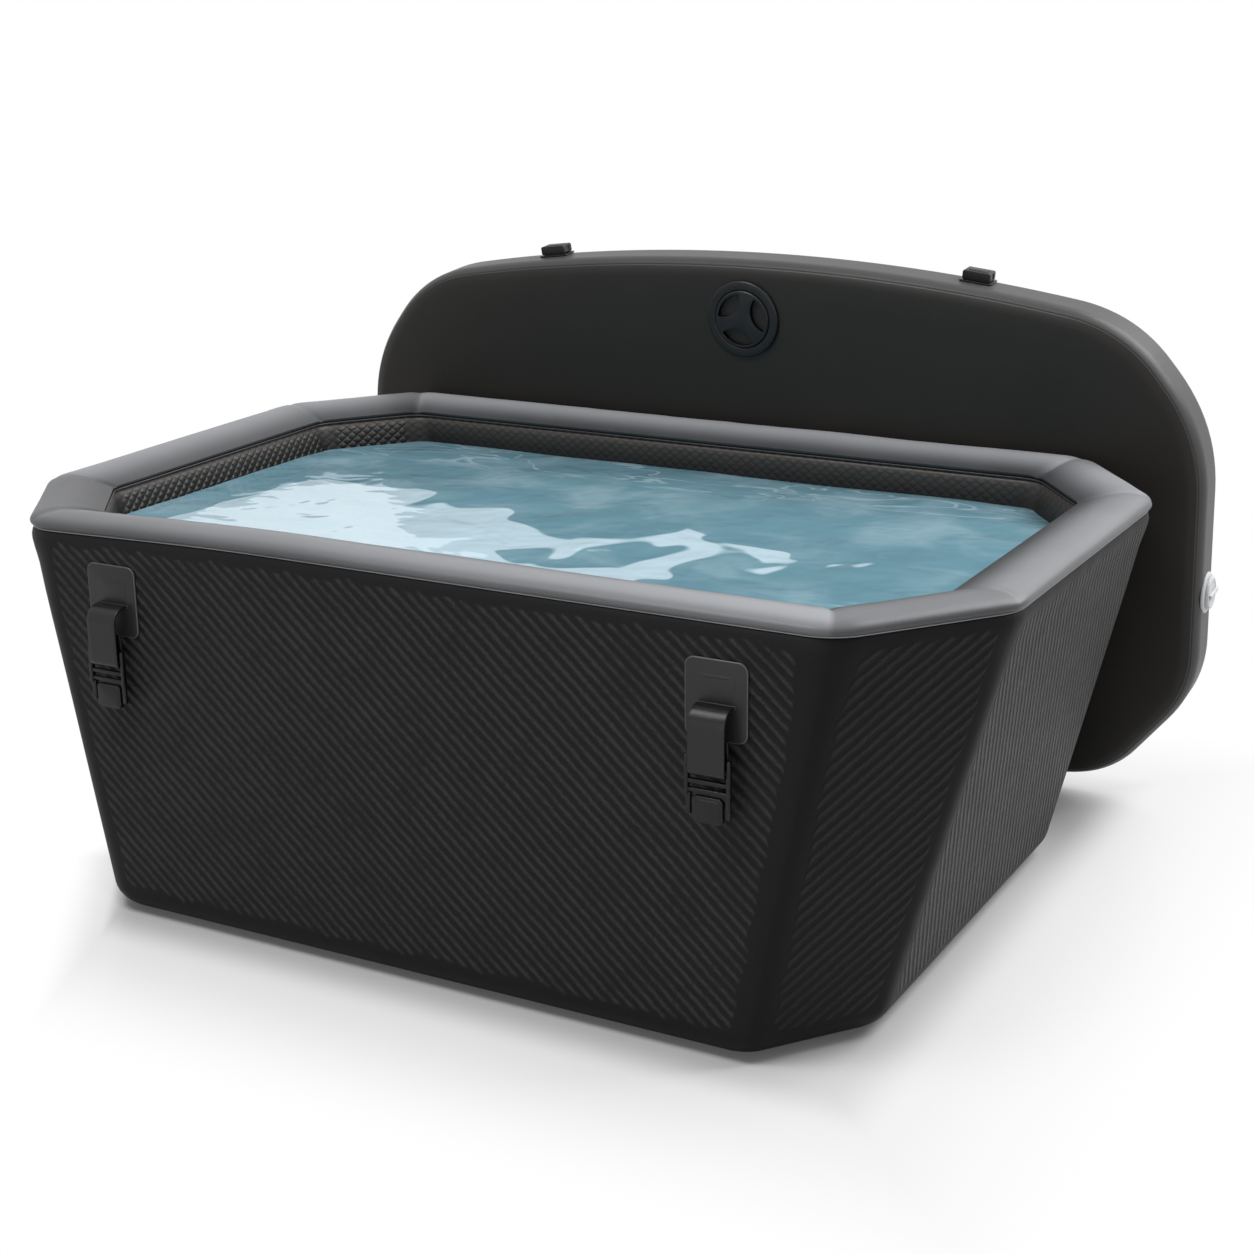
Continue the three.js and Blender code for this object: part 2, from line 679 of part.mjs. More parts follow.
function addSocket(lid, prefix, x) {
  const frame = new THREE.Group();
  frame.position.set(x, archHeight(x), 0);
  frame.rotation.z = -Math.asin(x / LID_ARCH_RADIUS);
  lid.add(frame);
  const half = PLUG_TONGUE_WIDTH / 2 + SOCKET_PLAY + SOCKET_WALL;
  const tabLow = GAP;
  const tabTop = tabLow + TAB_THICK;
  const low = tabTop + GAP;
  const back = -SOCKET_BACKSET - SOCKET_DEPTH / 2;
  const front = back + SOCKET_DEPTH;
  const tab = block(
    [-half - TAB_MARGIN, tabLow, back - TAB_MARGIN],
    [half + TAB_MARGIN, tabTop, front + TAB_MARGIN],
  );
  const shell = plate(roundedRectangle(-half, low, half, low + SOCKET_RISE, SOCKET_CORNER), back, front);
  const pocket = block(
    [-half + SOCKET_WALL, low + SOCKET_WALL, back - GAP],
    [half - SOCKET_WALL, low + SOCKET_RISE - SOCKET_WALL, front - SOCKET_WALL],
  );
  const windowLow = (back + front - SOCKET_WINDOW) / 2;
  const windows = block(
    [-half - GAP, low + SOCKET_WALL, windowLow],
    [half + GAP, low + SOCKET_RISE - SOCKET_WALL, windowLow + SOCKET_WINDOW],
  );
  addPiece(frame, `${prefix}_socket_tab`, tab, WEBBING);
  addPiece(frame, `${prefix}_buckle_socket`, cut(shell, pocket, windows), BLACK_PLASTIC);
}

// Screw plug: a welded port body, its gasket and a flush cap with three finger recesses
const portBarrelR = PORT_BORE_R + PORT_WALL;

function addPort(lid, core) {
  const frame = new THREE.Group();
  frame.position.set(0, lidHalfWidth - PLUG_DOWN, LID_THICKNESS / 2);
  frame.updateMatrix();
  lid.add(frame);
  const flangeLow = GAP + PORT_GASKET + GAP;
  const flangeTop = flangeLow + PORT_FLANGE;
  const floorTop = PORT_WALL - PORT_DEPTH;
  const body = turned([
    [0, -PORT_DEPTH],
    [portBarrelR, -PORT_DEPTH],
    [portBarrelR, flangeLow],
    [PORT_FLANGE_R, flangeLow],
    [PORT_FLANGE_R, flangeTop - PORT_GASKET],
    [PORT_FLANGE_R - PORT_GASKET, flangeTop],
    [PORT_BORE_R, flangeTop],
    [PORT_BORE_R, floorTop],
    [0, floorTop],
  ]);
  const capTop = flangeTop + CAP_PROUD;
  const capR = PORT_BORE_R - GAP;
  const ring = solid(disc(capR - CAP_RING, capTop - FINGER_DEPTH, capTop + FINGER_DEPTH));
  const fingers = [0, 1, 2].map((k) => {
    const angle = FINGER_TURN + (2 * Math.PI * k) / 3;
    const finger = disc(FINGER_R, capTop - FINGER_DEPTH, capTop + FINGER_DEPTH);
    finger.translate(FINGER_OFFSET * Math.cos(angle), FINGER_OFFSET * Math.sin(angle), 0);
    return unsolid(ring.intersect(solid(finger)));
  });
  const cap = cut(disc(capR, capTop - CAP_THICK, capTop), ...fingers);
  const gasket = hoop(portBarrelR + GAP, PORT_FLANGE_R - GAP, GAP, GAP + PORT_GASKET);
  addPiece(frame, 'port_gasket', gasket, SEAL_RUBBER);
  addPiece(frame, 'port_body', body, BLACK_PLASTIC);
  addPiece(frame, 'port_cap', cap, BLACK_PLASTIC);
  const seat = disc(portBarrelR + GAP, -PORT_DEPTH - GAP, PORT_FLANGE).applyMatrix4(frame.matrix);
  return cut(core, closed(seat));
}

function addLid(parent) {
  const lid = new THREE.Group();
  lid.rotation.x = Math.PI / 2 + LID_LEAN;
  lid.position.copy(lidPlace());
  parent.add(lid);
  const valve = new THREE.Group();
  valve.position.set(lidHalfLength, -LID_VALVE_DOWN, 0);
  valve.rotation.y = Math.PI / 2;
  valve.updateMatrix();
  lid.add(valve);
  const valveHoles = valveCutters(LID_VALVE_SEAT, valve);
  const core = loft(coreProfile.map(([inset, z]) => lidRing(inset, z)));
  const band = loft(bandProfile.map(([inset, z]) => lidRing(inset, z)), true);
  addPiece(lid, 'lid_core', addPort(lid, cut(core, ...valveHoles)), LID_PVC);
  addPiece(lid, 'lid_band', cut(band, ...valveHoles), BAND_PVC);
  addValve(valve, 'lid', LID_VALVE_SEAT);
  addSocket(lid, 'left', -SOCKET_X);
  addSocket(lid, 'right', SOCKET_X);
}

function addTub(parent) {
  const tub = new THREE.Group();
  parent.add(tub);
  const valve = wallFrame(tub, 'left', TUB_VALVE_ALONG, SEAM_HEIGHT - TUB_VALVE_DOWN);
  const drain = wallFrame(tub, 'left', 0, DRAIN_HEIGHT);
  const drainDepth = wallDepth('left');
  const leftCutters = [...valveCutters(0, valve).slice(1), drainCutter(drain, drainDepth)];
  sides.forEach(({ name }, i) => {
    const wall = sideLength(i, wallProfile);
    addPiece(tub, `wall_${name}`, name === 'left' ? cut(wall, ...leftCutters) : wall, RIBBED_PVC);
    addPiece(tub, `rim_${name}`, sideLength(i, rimProfile), RIM_PVC);
  });
  const innerWelt = weltProfile.map(([inset, z]) => [WALL - inset, z]);
  addPiece(tub, 'outer_seam_welt', ringLength(weltProfile), RIM_PVC);
  addPiece(tub, 'inner_seam_welt', ringLength(innerWelt), RIM_PVC);
  const floorInset = WALL + GAP;
  const floorTop = BASE_SHEET + FLOOR_PANEL;
  const floor = loft([octagon(floorInset, BASE_SHEET), octagon(floorInset, floorTop)]);
  const sheet = loft([octagon(BASE_RADIUS, 0), octagon(BASE_RADIUS, BASE_SHEET)]);
  addPiece(tub, 'floor_panel', floor, FLOOR_PVC);
  addPiece(tub, 'base_sheet', sheet, FLOOR_PVC);
  const strapX = SEAM_LENGTH / 2 - STRAP_FROM_END;
  addStrap(tub, 'left', -strapX);
  addStrap(tub, 'right', strapX);
  addValve(valve, 'tub', 0);
  addDrain(drain, drainDepth);
}

const plungeTub = new THREE.Group();
addTub(plungeTub);
addLid(plungeTub);

export default plungeTub;
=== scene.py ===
"""Visual model of an inflatable cold plunge tub and the lid that leans on its rear rim. Metres, +Z up."""
import math
from contextlib import contextmanager

import bmesh
import bpy
from mathutils import Matrix, Vector, noise


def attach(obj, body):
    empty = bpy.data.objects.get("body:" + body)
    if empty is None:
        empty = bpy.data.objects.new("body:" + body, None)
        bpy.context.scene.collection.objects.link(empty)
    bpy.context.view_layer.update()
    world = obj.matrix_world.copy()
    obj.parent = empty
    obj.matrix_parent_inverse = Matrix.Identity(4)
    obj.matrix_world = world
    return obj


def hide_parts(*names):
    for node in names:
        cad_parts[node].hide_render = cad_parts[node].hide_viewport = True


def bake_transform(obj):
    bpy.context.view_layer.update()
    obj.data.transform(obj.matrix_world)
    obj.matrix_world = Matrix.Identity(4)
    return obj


bl_info = {
    "name": "Cold plunge tub",
    "version": (1, 0, 0),
    "blender": (4, 5, 0),
    "location": "View3D > Sidebar > Plunge tub",
    "description": "Builds the padded tub, its water, straps, valves and lid round the packed solids",
    "category": "Add Mesh",
}

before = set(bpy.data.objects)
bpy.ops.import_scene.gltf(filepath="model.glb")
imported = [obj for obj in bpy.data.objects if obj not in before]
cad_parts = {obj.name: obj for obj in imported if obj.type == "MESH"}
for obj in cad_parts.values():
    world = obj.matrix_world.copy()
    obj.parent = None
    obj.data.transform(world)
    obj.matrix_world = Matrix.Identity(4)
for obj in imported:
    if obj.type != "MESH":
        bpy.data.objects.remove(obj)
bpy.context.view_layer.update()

# Tub sizes shared with the solids. A reach is how far out a side is at the floor and at the seam
SEAM_HEIGHT = 0.563
WALL = 0.098
BASE_SHEET = 0.003
FOOT_RADIUS = 0.036
FLOOR_TOP = 0.083
WELT = 0.003
RIM_RISE = 0.026
LONG_REACH = (0.486, 0.494)
END_REACH = (0.606, 0.750)
CORNER_REACH = (0.6859055, 0.7760688)
CORNER_TO_ENDS = 0.8056635
CORNER_TO_LONGS = 0.5923996

# Padding of the walls, as heights and as pairs of inset and height
SEAM_PINCH = 0.0045
WALL_TOP = SEAM_HEIGHT - WELT / 2
WALL_HEIGHTS = [0.05, 0.062, 0.078, *[0.11 + 0.04 * k for k in range(11)]]
WALL_SHOULDER = [(-0.0008, 0.522), (-0.0018, 0.534), (-0.0022, 0.544), (-0.0014, 0.551), (0.0006, 0.5565),
                 (0.0028, 0.5600), (SEAM_PINCH, WALL_TOP)]
LINER_ROLL = [(WALL - 0.009, WALL_TOP), (WALL - 0.003, 0.5598), (WALL, 0.5545)]
LINER_HEIGHTS = [0.549, 0.543, 0.536, 0.528, 0.515, 0.49, 0.4, 0.3, 0.2, 0.13]
LINER_RADIUS = 0.045
BOWL_RADIUS = 0.03
RIB_FOOT = 0.03
RIB_TOP = 0.557

# Padding of the rim, and how it has settled
RIM_FOOT = SEAM_HEIGHT + WELT / 2 - 0.0012
RIM_CREST = 0.038
RIM_TUCK = 0.006
RIM_TUCK_ROLL = [(0.0005, RIM_FOOT + 0.0036), (0.0020, RIM_FOOT + 0.0014), (SEAM_PINCH, RIM_FOOT)]
RIM_STEPS = 14
RIM_INNER_SLOPE = 1.6
RIM_SLACK = 0.0006
RIM_DENTS = ((0.0010, 9.0), (0.0005, 31.0))
RIM_FRONT_SAG = 0.006
CREASE_OUTER = 0.0012
CREASE_INNER = 0.0055
CREASE_WIDTH = 1.1
CORNER_SETTLE = 0.012
BEAD_RADIUS = 0.0011

# Water
WATER_GRID = (170, 112)
WATER_SHEET = (1.40, 0.92, 1.0)
WATER_GAP = 0.0015
WATER_DEPTH = 0.06

# Strap and buckle sizes shared with the solids
STRAP_X = 0.455
STRAP_HEIGHT = 0.464
STRAP_WIDTH = 0.048
STRAP_THICK = 0.003
STRAP_ROOT = [(0.0026, 0.0), (0.006, 0.0004)]
STRAP_BEND = 0.020
STRAP_BEND_OUT = 0.0096
STRAP_DROP = 0.054
STRAP_WRAP = 0.0063
STRAP_TAIL = 0.038
STRAP_TAIL_LEAN = 0.0006
BAR_OUT = STRAP_BEND_OUT + STRAP_BEND - STRAP_WRAP
BAR_UP = -STRAP_BEND - STRAP_DROP
HINGE_START_Z = 0.452
HINGE_END_Z = 0.430
HINGE_OUT = 0.03

# Plates: name, half width, limits along and through, corner radius, edge rounding
PATCH_PLATES = (
    ("patch", 0.041, (-0.044, 0.056), (0.0002, 0.0033), 0.012, 0.0013),
    ("weld", 0.024, (0.003, 0.037), (0.0028, 0.0036), 0.002, 0.0003),
    ("stitch", 0.016, (0.0335, 0.0362), (0.0030, 0.0042), 0.001, 0.0005),
    ("slit", 0.0262, (-0.0026, 0.0024), (0.0026, 0.0042), 0.0016, 0.0008),
)
# The patch's flat face; the bevel faces outside it get the painted edge highlight
PATCH_FACE = (0.036, -0.039, 0.051)
TONGUE_PLATES = (
    ("tongue", 0.020, (-0.067, -0.0335), (-0.003, 0.0031), 0.0055, 0.0013),
    ("thumb", 0.0165, (-0.0635, -0.0375), (0.0026, 0.0036), 0.004, 0.0007),
)

# Blocks of the buckle plug: name, limits across, along and through, edge rounding and its steps
PLUG_SIDES = (
    ("rail", (0.0248, 0.0302), (-0.034, 0.0165), (-0.003, 0.0046), 0.0017, 3),
    ("arm", (0.0226, 0.0292), (-0.0585, -0.030), (-0.003, 0.0022), 0.0016, 3),
    ("barb", (0.0262, 0.0300), (-0.0565, -0.048), (-0.0024, 0.0026), 0.0012, 2),
)
PLUG_BARS = (
    ("upper_bar", (-0.026, 0.026), (-0.003, 0.003), (-0.003, 0.003), 0.0012, 2),
    ("lower_bar", (-0.026, 0.026), (-0.0183, -0.0128), (-0.0026, 0.0038), 0.0015, 3),
    ("second_bar", (-0.026, 0.026), (-0.0292, -0.0242), (-0.0026, 0.0034), 0.0014, 3),
    ("bridge", (-0.0225, 0.0225), (-0.0365, -0.027), (-0.003, -0.0006), 0.0006, 2),
)

# Lid sizes shared with the solids
LID_PLACE = (0.026, 0.5590063, 0.4271559)
LID_LEAN = math.radians(6)
LID_HALF_LENGTH = 0.745
LID_HALF_WIDTH = 0.427
LID_HALF_THICK = 0.045
LID_EDGE = 0.024
LID_ARCH = 3.2
LID_CORNER_X = 0.617
LID_CORNER_Y = 0.206
LID_UPPER_FILLETS = (0.086, 0.100)
LID_LOWER_FILLETS = (0.058, 0.068)
LID_SEAM_ANGLE = 130
LID_GROOVE_ANGLE = 4
LID_CROWN = [(0.0215, -0.0007), (0.026, -0.0002), (0.034, 0.0003), (0.06, 0.0004)]
LID_BAND_HEIGHTS = (-0.014, -0.007, 0.0, 0.007, 0.014)
LID_FACE_RINGS = (0.8, 0.55, 0.3)

# Fittings, as profiles of (radius, height) where they are turned
SOCKET_X = 0.372
SOCKET_SHELL = ((-0.0222, 0.0222), (0.0031, 0.0171), (-0.025, 0.001))
SOCKET_RIDGE = ((-0.015, 0.015), (0.0162, 0.0179), (-0.019, -0.0045))
SOCKET_TAB = ((-0.0262, 0.0262), (0.0002, 0.0028), (-0.029, 0.005))
SOCKET_WALL = 0.0018
SOCKET_POCKET = 0.0242
SOCKET_WINDOW = ((0.0055, 0.0147), (-0.017, -0.007))
SOCKET_WINDOW_SIDES = ((-0.03, -0.0212), (0.0212, 0.03))
PORT_DOWN = 0.092
PORT_RING = [
    (0.047, 0.0058), (0.0484, 0.0071), (0.0602, 0.0068), (0.062, 0.0050), (0.062, 0.0008), (0.051, 0.0008),
    (0.051, -0.030), (0.047, -0.030), (0.047, 0.0058)]
PORT_CAP_TOP = 0.0091
PORT_CAP = [
    (0.0, PORT_CAP_TOP), (0.0450, PORT_CAP_TOP), (0.0467, 0.0074), (0.0467, -0.0049), (0.0, -0.0049)]
FINGER_ANGLES = (15, 135, 255)
# Height limits and reach of the recess faces painted dark as shade
FINGER_PAINTED_SHADE = (-0.004, 0.0078, 0.0425)
FINGER_RADIUS = 0.033
FINGER_OFFSET = 0.050
FINGER_RING = 0.0415
LID_VALVE_DOWN = 0.051
LID_VALVE_SEAT = 0.0032
TUB_VALVE_ALONG = -0.130
TUB_VALVE_HEIGHT = 0.420
VALVE_RISE = 0.0071
VALVE_DEPTH = 0.030
VALVE_WEB_DEPTH = 0.027
VALVE_CAP_RISE = 0.005
VALVE_CAP_GAP = 0.0003
DRAIN_HEIGHT = 0.126
DRAIN_TUBE = [
    (0.015, 0.0331), (0.0192, 0.0331), (0.020, 0.0323), (0.020, 0.0071), (0.0325, 0.0071), (0.036, 0.0050),
    (0.036, 0.0021), (0.020, 0.0021), (0.020, -0.1062), (0.015, -0.1062), (0.015, 0.0331)]
DRAIN_CAP = [
    (0.0, 0.0384), (0.0222, 0.0384), (0.0245, 0.0372), (0.0253, 0.0350), (0.0253, 0.0074), (0.0203, 0.0074),
    (0.0203, 0.0334), (0.0, 0.0334)]
FLUTES = 12
FLUTE_RADIUS = 0.0034
FLUTE_PLACE = (0.0272, 0.021)

# Floor: its size, the footprint's middle and half depth, and how much faster it turns white on the left
FLOOR_SIZE = 60.0
FLOOR_GAP = 0.0004
FOOTPRINT_Y = 0.077
FOOTPRINT_HALF = 0.563
FOOTPRINT_CORNER = 0.686
LEFT_FADE = 4.0

# Lamps: name, place, target, size and watts. The world's light on the object is its strength there
LAMPS = (
    ("key_light", (1.9, 1.4, 2.8), (0.2, 0.0, 0.5), 2.2, 115.0),
    ("top_light", (-0.5, -1.4, 3.1), (0.0, -0.2, 0.4), 1.2, 50.0),
    ("fill_light", (0.3, -3.2, 0.7), (0.1, -0.4, 0.5), 1.6, 10.0),
)
WORLD_LIGHT = 0.12
WHITE = (1.0, 1.0, 1.0, 1.0)

# Camera of the photograph
CAMERA_PLACE = (1.4803, -2.6121, 1.2644)
CAMERA_YAW = math.radians(28.361)
CAMERA_PITCH = math.radians(16.705)
CAMERA_ROLL = math.radians(-0.212)
CAMERA_LENS = 61.209
CAMERA_SENSOR = 36.0


def shade(*channels):
    """Linear colour of a screen colour given in 0 to 255."""
    def linear(value):
        return value / 12.92 if value <= 0.04045 else ((value + 0.055) / 1.055) ** 2.4
    return tuple(linear(channel / 255) for channel in channels)


def metres(name, description, default, low, high):
    return bpy.props.FloatProperty(
        name=name, description=description, default=default, min=low, max=high, unit="LENGTH")


def tint(name, description, *channels):
    return bpy.props.FloatVectorProperty(
        name=name, description=description, default=shade(*channels), subtype="COLOR", min=0, max=1)


class TubSizes(bpy.types.PropertyGroup):
    """Sizes of the padded shapes and of their surface patterns"""

    corner_radius: metres("Corner radius", "Rounding of the tub's upright corners", 0.046, 0.02, 0.09)
    rim_radius: metres("Rim corner radius", "Rounding of the rim's corners and of the seam under it",
                       0.074, 0.02, 0.12)
    rib_pitch: metres("Rib pitch", "Distance between the ribs of the outer walls", 0.0139, 0.004, 0.03)
    rib_height: metres("Rib height", "Height of the ribs of the outer walls", 0.0026, 0.0, 0.006)
    diamond_pitch: metres("Diamond pitch", "Distance between the rows of the liner's diamonds",
                          0.0145, 0.004, 0.03)
    rim_fullness: bpy.props.FloatProperty(
        name="Rim fullness", description="Squareness of the rim's padded section, 2 is an ellipse",
        default=2.05, min=1.6, max=4.0)
    water_level: metres("Water level", "Height of the water over the floor", 0.519, 0.1, 0.55)
    ripple_height: metres("Ripple height", "Height of the waves on the water", 0.0035, 0.0, 0.02)
    lid_groove: metres("Lid groove", "Depth of the seam between the lid's face and its band",
                       0.0014, 0.0, 0.006)


class TubColours(bpy.types.PropertyGroup):
    """Colours of the finishes"""

    wall: tint("Walls", "Ribbed outer walls", 44, 44, 45)
    # The rim's base colour is scaled along its crest and per length by painted highlight and shade
    rim: tint("Rim", "Smooth padded rim", 108, 109, 112)
    # Lightened as a painted highlight of the outer seam line
    seam: tint("Seam", "Welt of the rim's outer seam", 150, 151, 153)
    # Its base colour is scaled by painted light at the top and painted shade towards the water
    liner: tint("Liner", "Embossed liner", 52, 49, 47)
    lid: tint("Lid", "Lid's face and back", 36, 34, 32)
    # Set lighter than the lid's face, a painted highlight along the band's top
    band: tint("Lid band", "Band round the lid's edge", 64, 64, 64)
    webbing: tint("Webbing", "Straps and tabs", 31, 31, 32)
    patch: tint("Patches", "Welded strap patches", 44, 44, 45)
    plastic: tint("Black plastic", "Buckles, plug and drain", 19, 20, 21)
    white_plastic: tint("White plastic", "Inflation valves", 203, 204, 206)
    rubber: tint("Rubber", "Gaskets", 30, 30, 30)
    steel: tint("Steel", "Valve springs", 190, 193, 196)
    # Base colour between the painted reflections
    water_deep: tint("Deep water", "Water between the bright patches", 105, 145, 159)
    # Colour of the painted reflections on the water
    painted_water_reflection: tint("Light water", "Bright patches of the water", 186, 210, 221)


# Shader maths

def maths_pair(operation):
    """An operator of a socket and its reflected form."""
    def forward(self, other):
        return self.maths(operation, self, other)

    def reflected(self, other):
        return self.maths(operation, other, self)
    return forward, reflected


class Flow:
    """An output socket that adds Math nodes when it is used in an expression."""

    __add__, __radd__ = maths_pair("ADD")
    __sub__, __rsub__ = maths_pair("SUBTRACT")
    __mul__, __rmul__ = maths_pair("MULTIPLY")
    __pow__, __rpow__ = maths_pair("POWER")

    def __init__(self, nodes, socket):
        self.nodes = nodes
        self.socket = socket

    def maths(self, operation, first, second=0.0):
        return self.nodes.node("ShaderNodeMath", {"operation": operation}, {0: first, 1: second})

    def sine(self):
        return self.maths("SINE", self)

    def size(self):
        return self.maths("ABSOLUTE", self)

    def most(self, other):
        return self.maths("MAXIMUM", self, other)

    def least(self, other):
        return self.maths("MINIMUM", self, other)


class Nodes:
    """A node tree, with one method that adds any node."""

    def __init__(self, tree):
        self.tree = tree

    def feed(self, socket, value):
        if isinstance(value, Flow):
            self.tree.links.new(value.socket, socket)
        else:
            socket.default_value = value

    def node(self, kind, settings=None, inputs=None, output=0):
        node = self.tree.nodes.new(kind)
        for key, value in (settings or {}).items():
            setattr(node, key, value)
        for key, value in (inputs or {}).items():
            self.feed(node.inputs[key], value)
        return Flow(self, node.outputs[output])

    def background_rays(self):
        """1 for the rays that show the background: seen, mirrored or through something clear."""
        kinds = ("Is Camera Ray", "Is Glossy Ray", "Is Transmission Ray")
        seen, mirrored, through = [self.node("ShaderNodeLightPath", output=kind) for kind in kinds]
        return seen.most(mirrored).most(through)


class Finish(Nodes):
    """A material and the patterns that its sockets are fed with."""

    def __init__(self, name, colour, roughness, gloss=0.5, **constants):
        self.material = bpy.data.materials.new(name)
        self.material.use_nodes = True
        self.material.diffuse_color = (*colour, 1.0)
        super().__init__(self.material.node_tree)
        self.shader = self.tree.nodes["Principled BSDF"]
        self.set("Base Color", (*colour, 1.0))
        self.set("Roughness", roughness)
        self.set("Specular IOR Level", gloss)
        for socket, value in constants.items():
            self.set(socket, value)
        self.place = self.node("ShaderNodeTexCoord", output="Object")

    def set(self, socket, value):
        self.feed(self.shader.inputs[socket], value)

    def axis(self, name, vector=None):
        return self.node("ShaderNodeSeparateXYZ", inputs={"Vector": vector or self.place}, output=name)

    def panel(self):
        """Distances along and up one side of the tub."""
        flat = self.node("ShaderNodeUVMap", {"uv_map": "panel"})
        return self.axis("X", flat), self.axis("Y", flat)

    def attribute(self, name):
        return self.node("ShaderNodeAttribute", {"attribute_name": name}, output="Fac")

    def clouds(self, scale, detail=2.0, distortion=0.0, stretch=None):
        place = self.place
        if stretch:
            place = self.node("ShaderNodeMapping", inputs={"Vector": place, "Scale": stretch})
        values = {"Vector": place, "Scale": scale, "Detail": detail, "Distortion": distortion}
        return self.node("ShaderNodeTexNoise", inputs=values)

    def fade(self, value, low, high):
        """0 below low and 1 above high, with a smooth step between."""
        values = {"Value": value, "From Min": low, "From Max": high}
        return self.node("ShaderNodeMapRange", {"interpolation_type": "SMOOTHSTEP"}, values)

    def between(self, factor, first, second):
        """Let the base colour go from one colour to another."""
        values = {0: factor, 6: (*first, 1.0), 7: (*second, 1.0)}
        self.set("Base Color", self.node("ShaderNodeMix", {"data_type": "RGBA"}, values, output=2))

    def tones(self, factor, colour, low, high):
        """Let the base colour go from a darker to a lighter tone of one colour."""
        self.between(factor, scaled(colour, low), scaled(colour, high))

    def bump(self, height, distance):
        self.set("Normal", self.node("ShaderNodeBump", inputs={"Height": height, "Distance": distance}))


def scaled(colour, factor):
    return tuple(min(1.0, channel * factor) for channel in colour)


# The eight sides of the tub, in plan

class Side:
    """One side: its name, its level normal, and how far out it is at the floor and per metre of height."""

    def __init__(self, name, normal, reach):
        self.name = name
        self.normal = Vector(normal)
        self.along = Vector((-normal[1], normal[0]))
        self.floor, seam = reach
        self.slope = (seam - self.floor) / SEAM_HEIGHT

    def reach(self, z):
        return self.floor + self.slope * z


SIDES = [
    Side("front", (0, -1), LONG_REACH),
    Side("front_right", (CORNER_TO_ENDS, -CORNER_TO_LONGS), CORNER_REACH),
    Side("right", (1, 0), END_REACH),
    Side("back_right", (CORNER_TO_ENDS, CORNER_TO_LONGS), CORNER_REACH),
    Side("back", (0, 1), LONG_REACH),
    Side("back_left", (-CORNER_TO_ENDS, CORNER_TO_LONGS), CORNER_REACH),
    Side("left", (-1, 0), END_REACH),
    Side("front_left", (-CORNER_TO_ENDS, -CORNER_TO_LONGS), CORNER_REACH),
]
RUN_STEPS = [40, 12, 22, 12, 40, 12, 22, 12]
ARC_STEPS = 8
EDGE_RUN = (0.0, 0.008, 0.016, 0.026, 0.038)

# Painted light and shade of the sides, and the liner's relief: the wall panels' and the rim lengths' levels
# lighten or darken each side as painted light and shade. Walls repeat after four sides
PANEL_PAINTED_LIGHT = (0.85, 0.28, 1.75, 0.28)
RIB_SCALES = ((0.96, 1.07), (-0.82, 1.06), (1.375, 0.82), (-0.82, 1.06))
RIM_PAINTED_LIGHT = (0.42, 0.25, 0.40, 0.52, 1.0, 0.52, 0.46, 0.12)
RIM_FRONT_PAINTED_RISE = 0.38
LINER_RELIEF = (0.5, 0.5, 0.5, 0.3, 0.25, 1.0, 1.0, 1.0)


def smooth(value, low, high):
    value = min(1.0, max(0.0, (value - low) / (high - low)))
    return value * value * (3 - 2 * value)


def corner_point(index, inset, z):
    one = SIDES[index]
    two = SIDES[(index + 1) % len(SIDES)]
    first = one.reach(z) - inset
    second = two.reach(z) - inset
    spread = one.normal.x * two.normal.y - one.normal.y * two.normal.x
    x = (first * two.normal.y - second * one.normal.y) / spread
    y = (one.normal.x * second - two.normal.x * first) / spread
    return Vector((x, y))


def run_stops(length, steps):
    """Distances along a straight run: close together near its ends, even between."""
    inner = steps - 2 * (len(EDGE_RUN) - 1)
    step = (length - 2 * EDGE_RUN[-1]) / inner
    middle = [EDGE_RUN[-1] + step * k for k in range(1, inner)]
    return [*EDGE_RUN, *middle, *[length - stop for stop in reversed(EDGE_RUN)]][:-1]


def settle(place, z):
    """How much lower the tub's upper part sits towards its left front corner."""
    left_front = smooth(-place.x, 0.2, 0.75) * smooth(0.45 - place.y, 0.0, 0.9)
    return CORNER_SETTLE * left_front * smooth(z, 0.3, 0.56)


def tub_ring(inset, z, radius):
    """Points round the tub at one height, each with its side and its distance to a rounded corner."""
    corners = [corner_point(i, inset, z) for i in range(len(SIDES))]
    points = []
    for i, side in enumerate(SIDES):
        after = (i + 1) % len(SIDES)
        turn_before = SIDES[i - 1].normal.angle(side.normal)
        turn_after = side.normal.angle(SIDES[after].normal)
        start = corners[i - 1] + side.along * radius * math.tan(turn_before / 2)
        end = corners[i] - side.along * radius * math.tan(turn_after / 2)
        run = (end - start).length
        for stop in run_stops(run, RUN_STEPS[i]):
            points.append((start + side.along * stop, i, min(stop, run - stop)))
        centre = end - side.normal * radius
        for k in range(ARC_STEPS):
            angle = turn_after * k / ARC_STEPS
            spoke = side.normal * math.cos(angle) + side.along * math.sin(angle)
            points.append((centre + spoke * radius, i if k < ARC_STEPS / 2 else after, 0.0))
    return [(Vector((p.x, p.y, z - settle(p, z))), owner, clear) for p, owner, clear in points]


def new_object(name, data):
    piece = bpy.data.objects.new(name, data)
    bpy.context.scene.collection.objects.link(piece)
    return piece


def mesh_piece(name, points, faces):
    mesh = bpy.data.meshes.new(name)
    mesh.from_pydata(points, [], faces)
    mesh.validate()
    return new_object(name, mesh)


def store(piece, name, values):
    """Keep one number for each point, for the finish to read."""
    piece.data.attributes.new(name, "FLOAT", "POINT").data.foreach_set("value", values)


def ring_faces(rings, count, wrap):
    """Quads between rings of equal count, each ring closed on itself."""
    faces = []
    for j in range(rings if wrap else rings - 1):
        low = j * count
        high = ((j + 1) % rings) * count
        for k in range(count):
            after = (k + 1) % count
            faces.append((low + k, low + after, high + after, high + k))
    return faces


def capped_faces(rings, count):
    """Quads between rings, and one face over each end."""
    last = (rings - 1) * count
    caps = [tuple(reversed(range(count))), tuple(range(last, last + count))]
    return ring_faces(rings, count, False) + caps


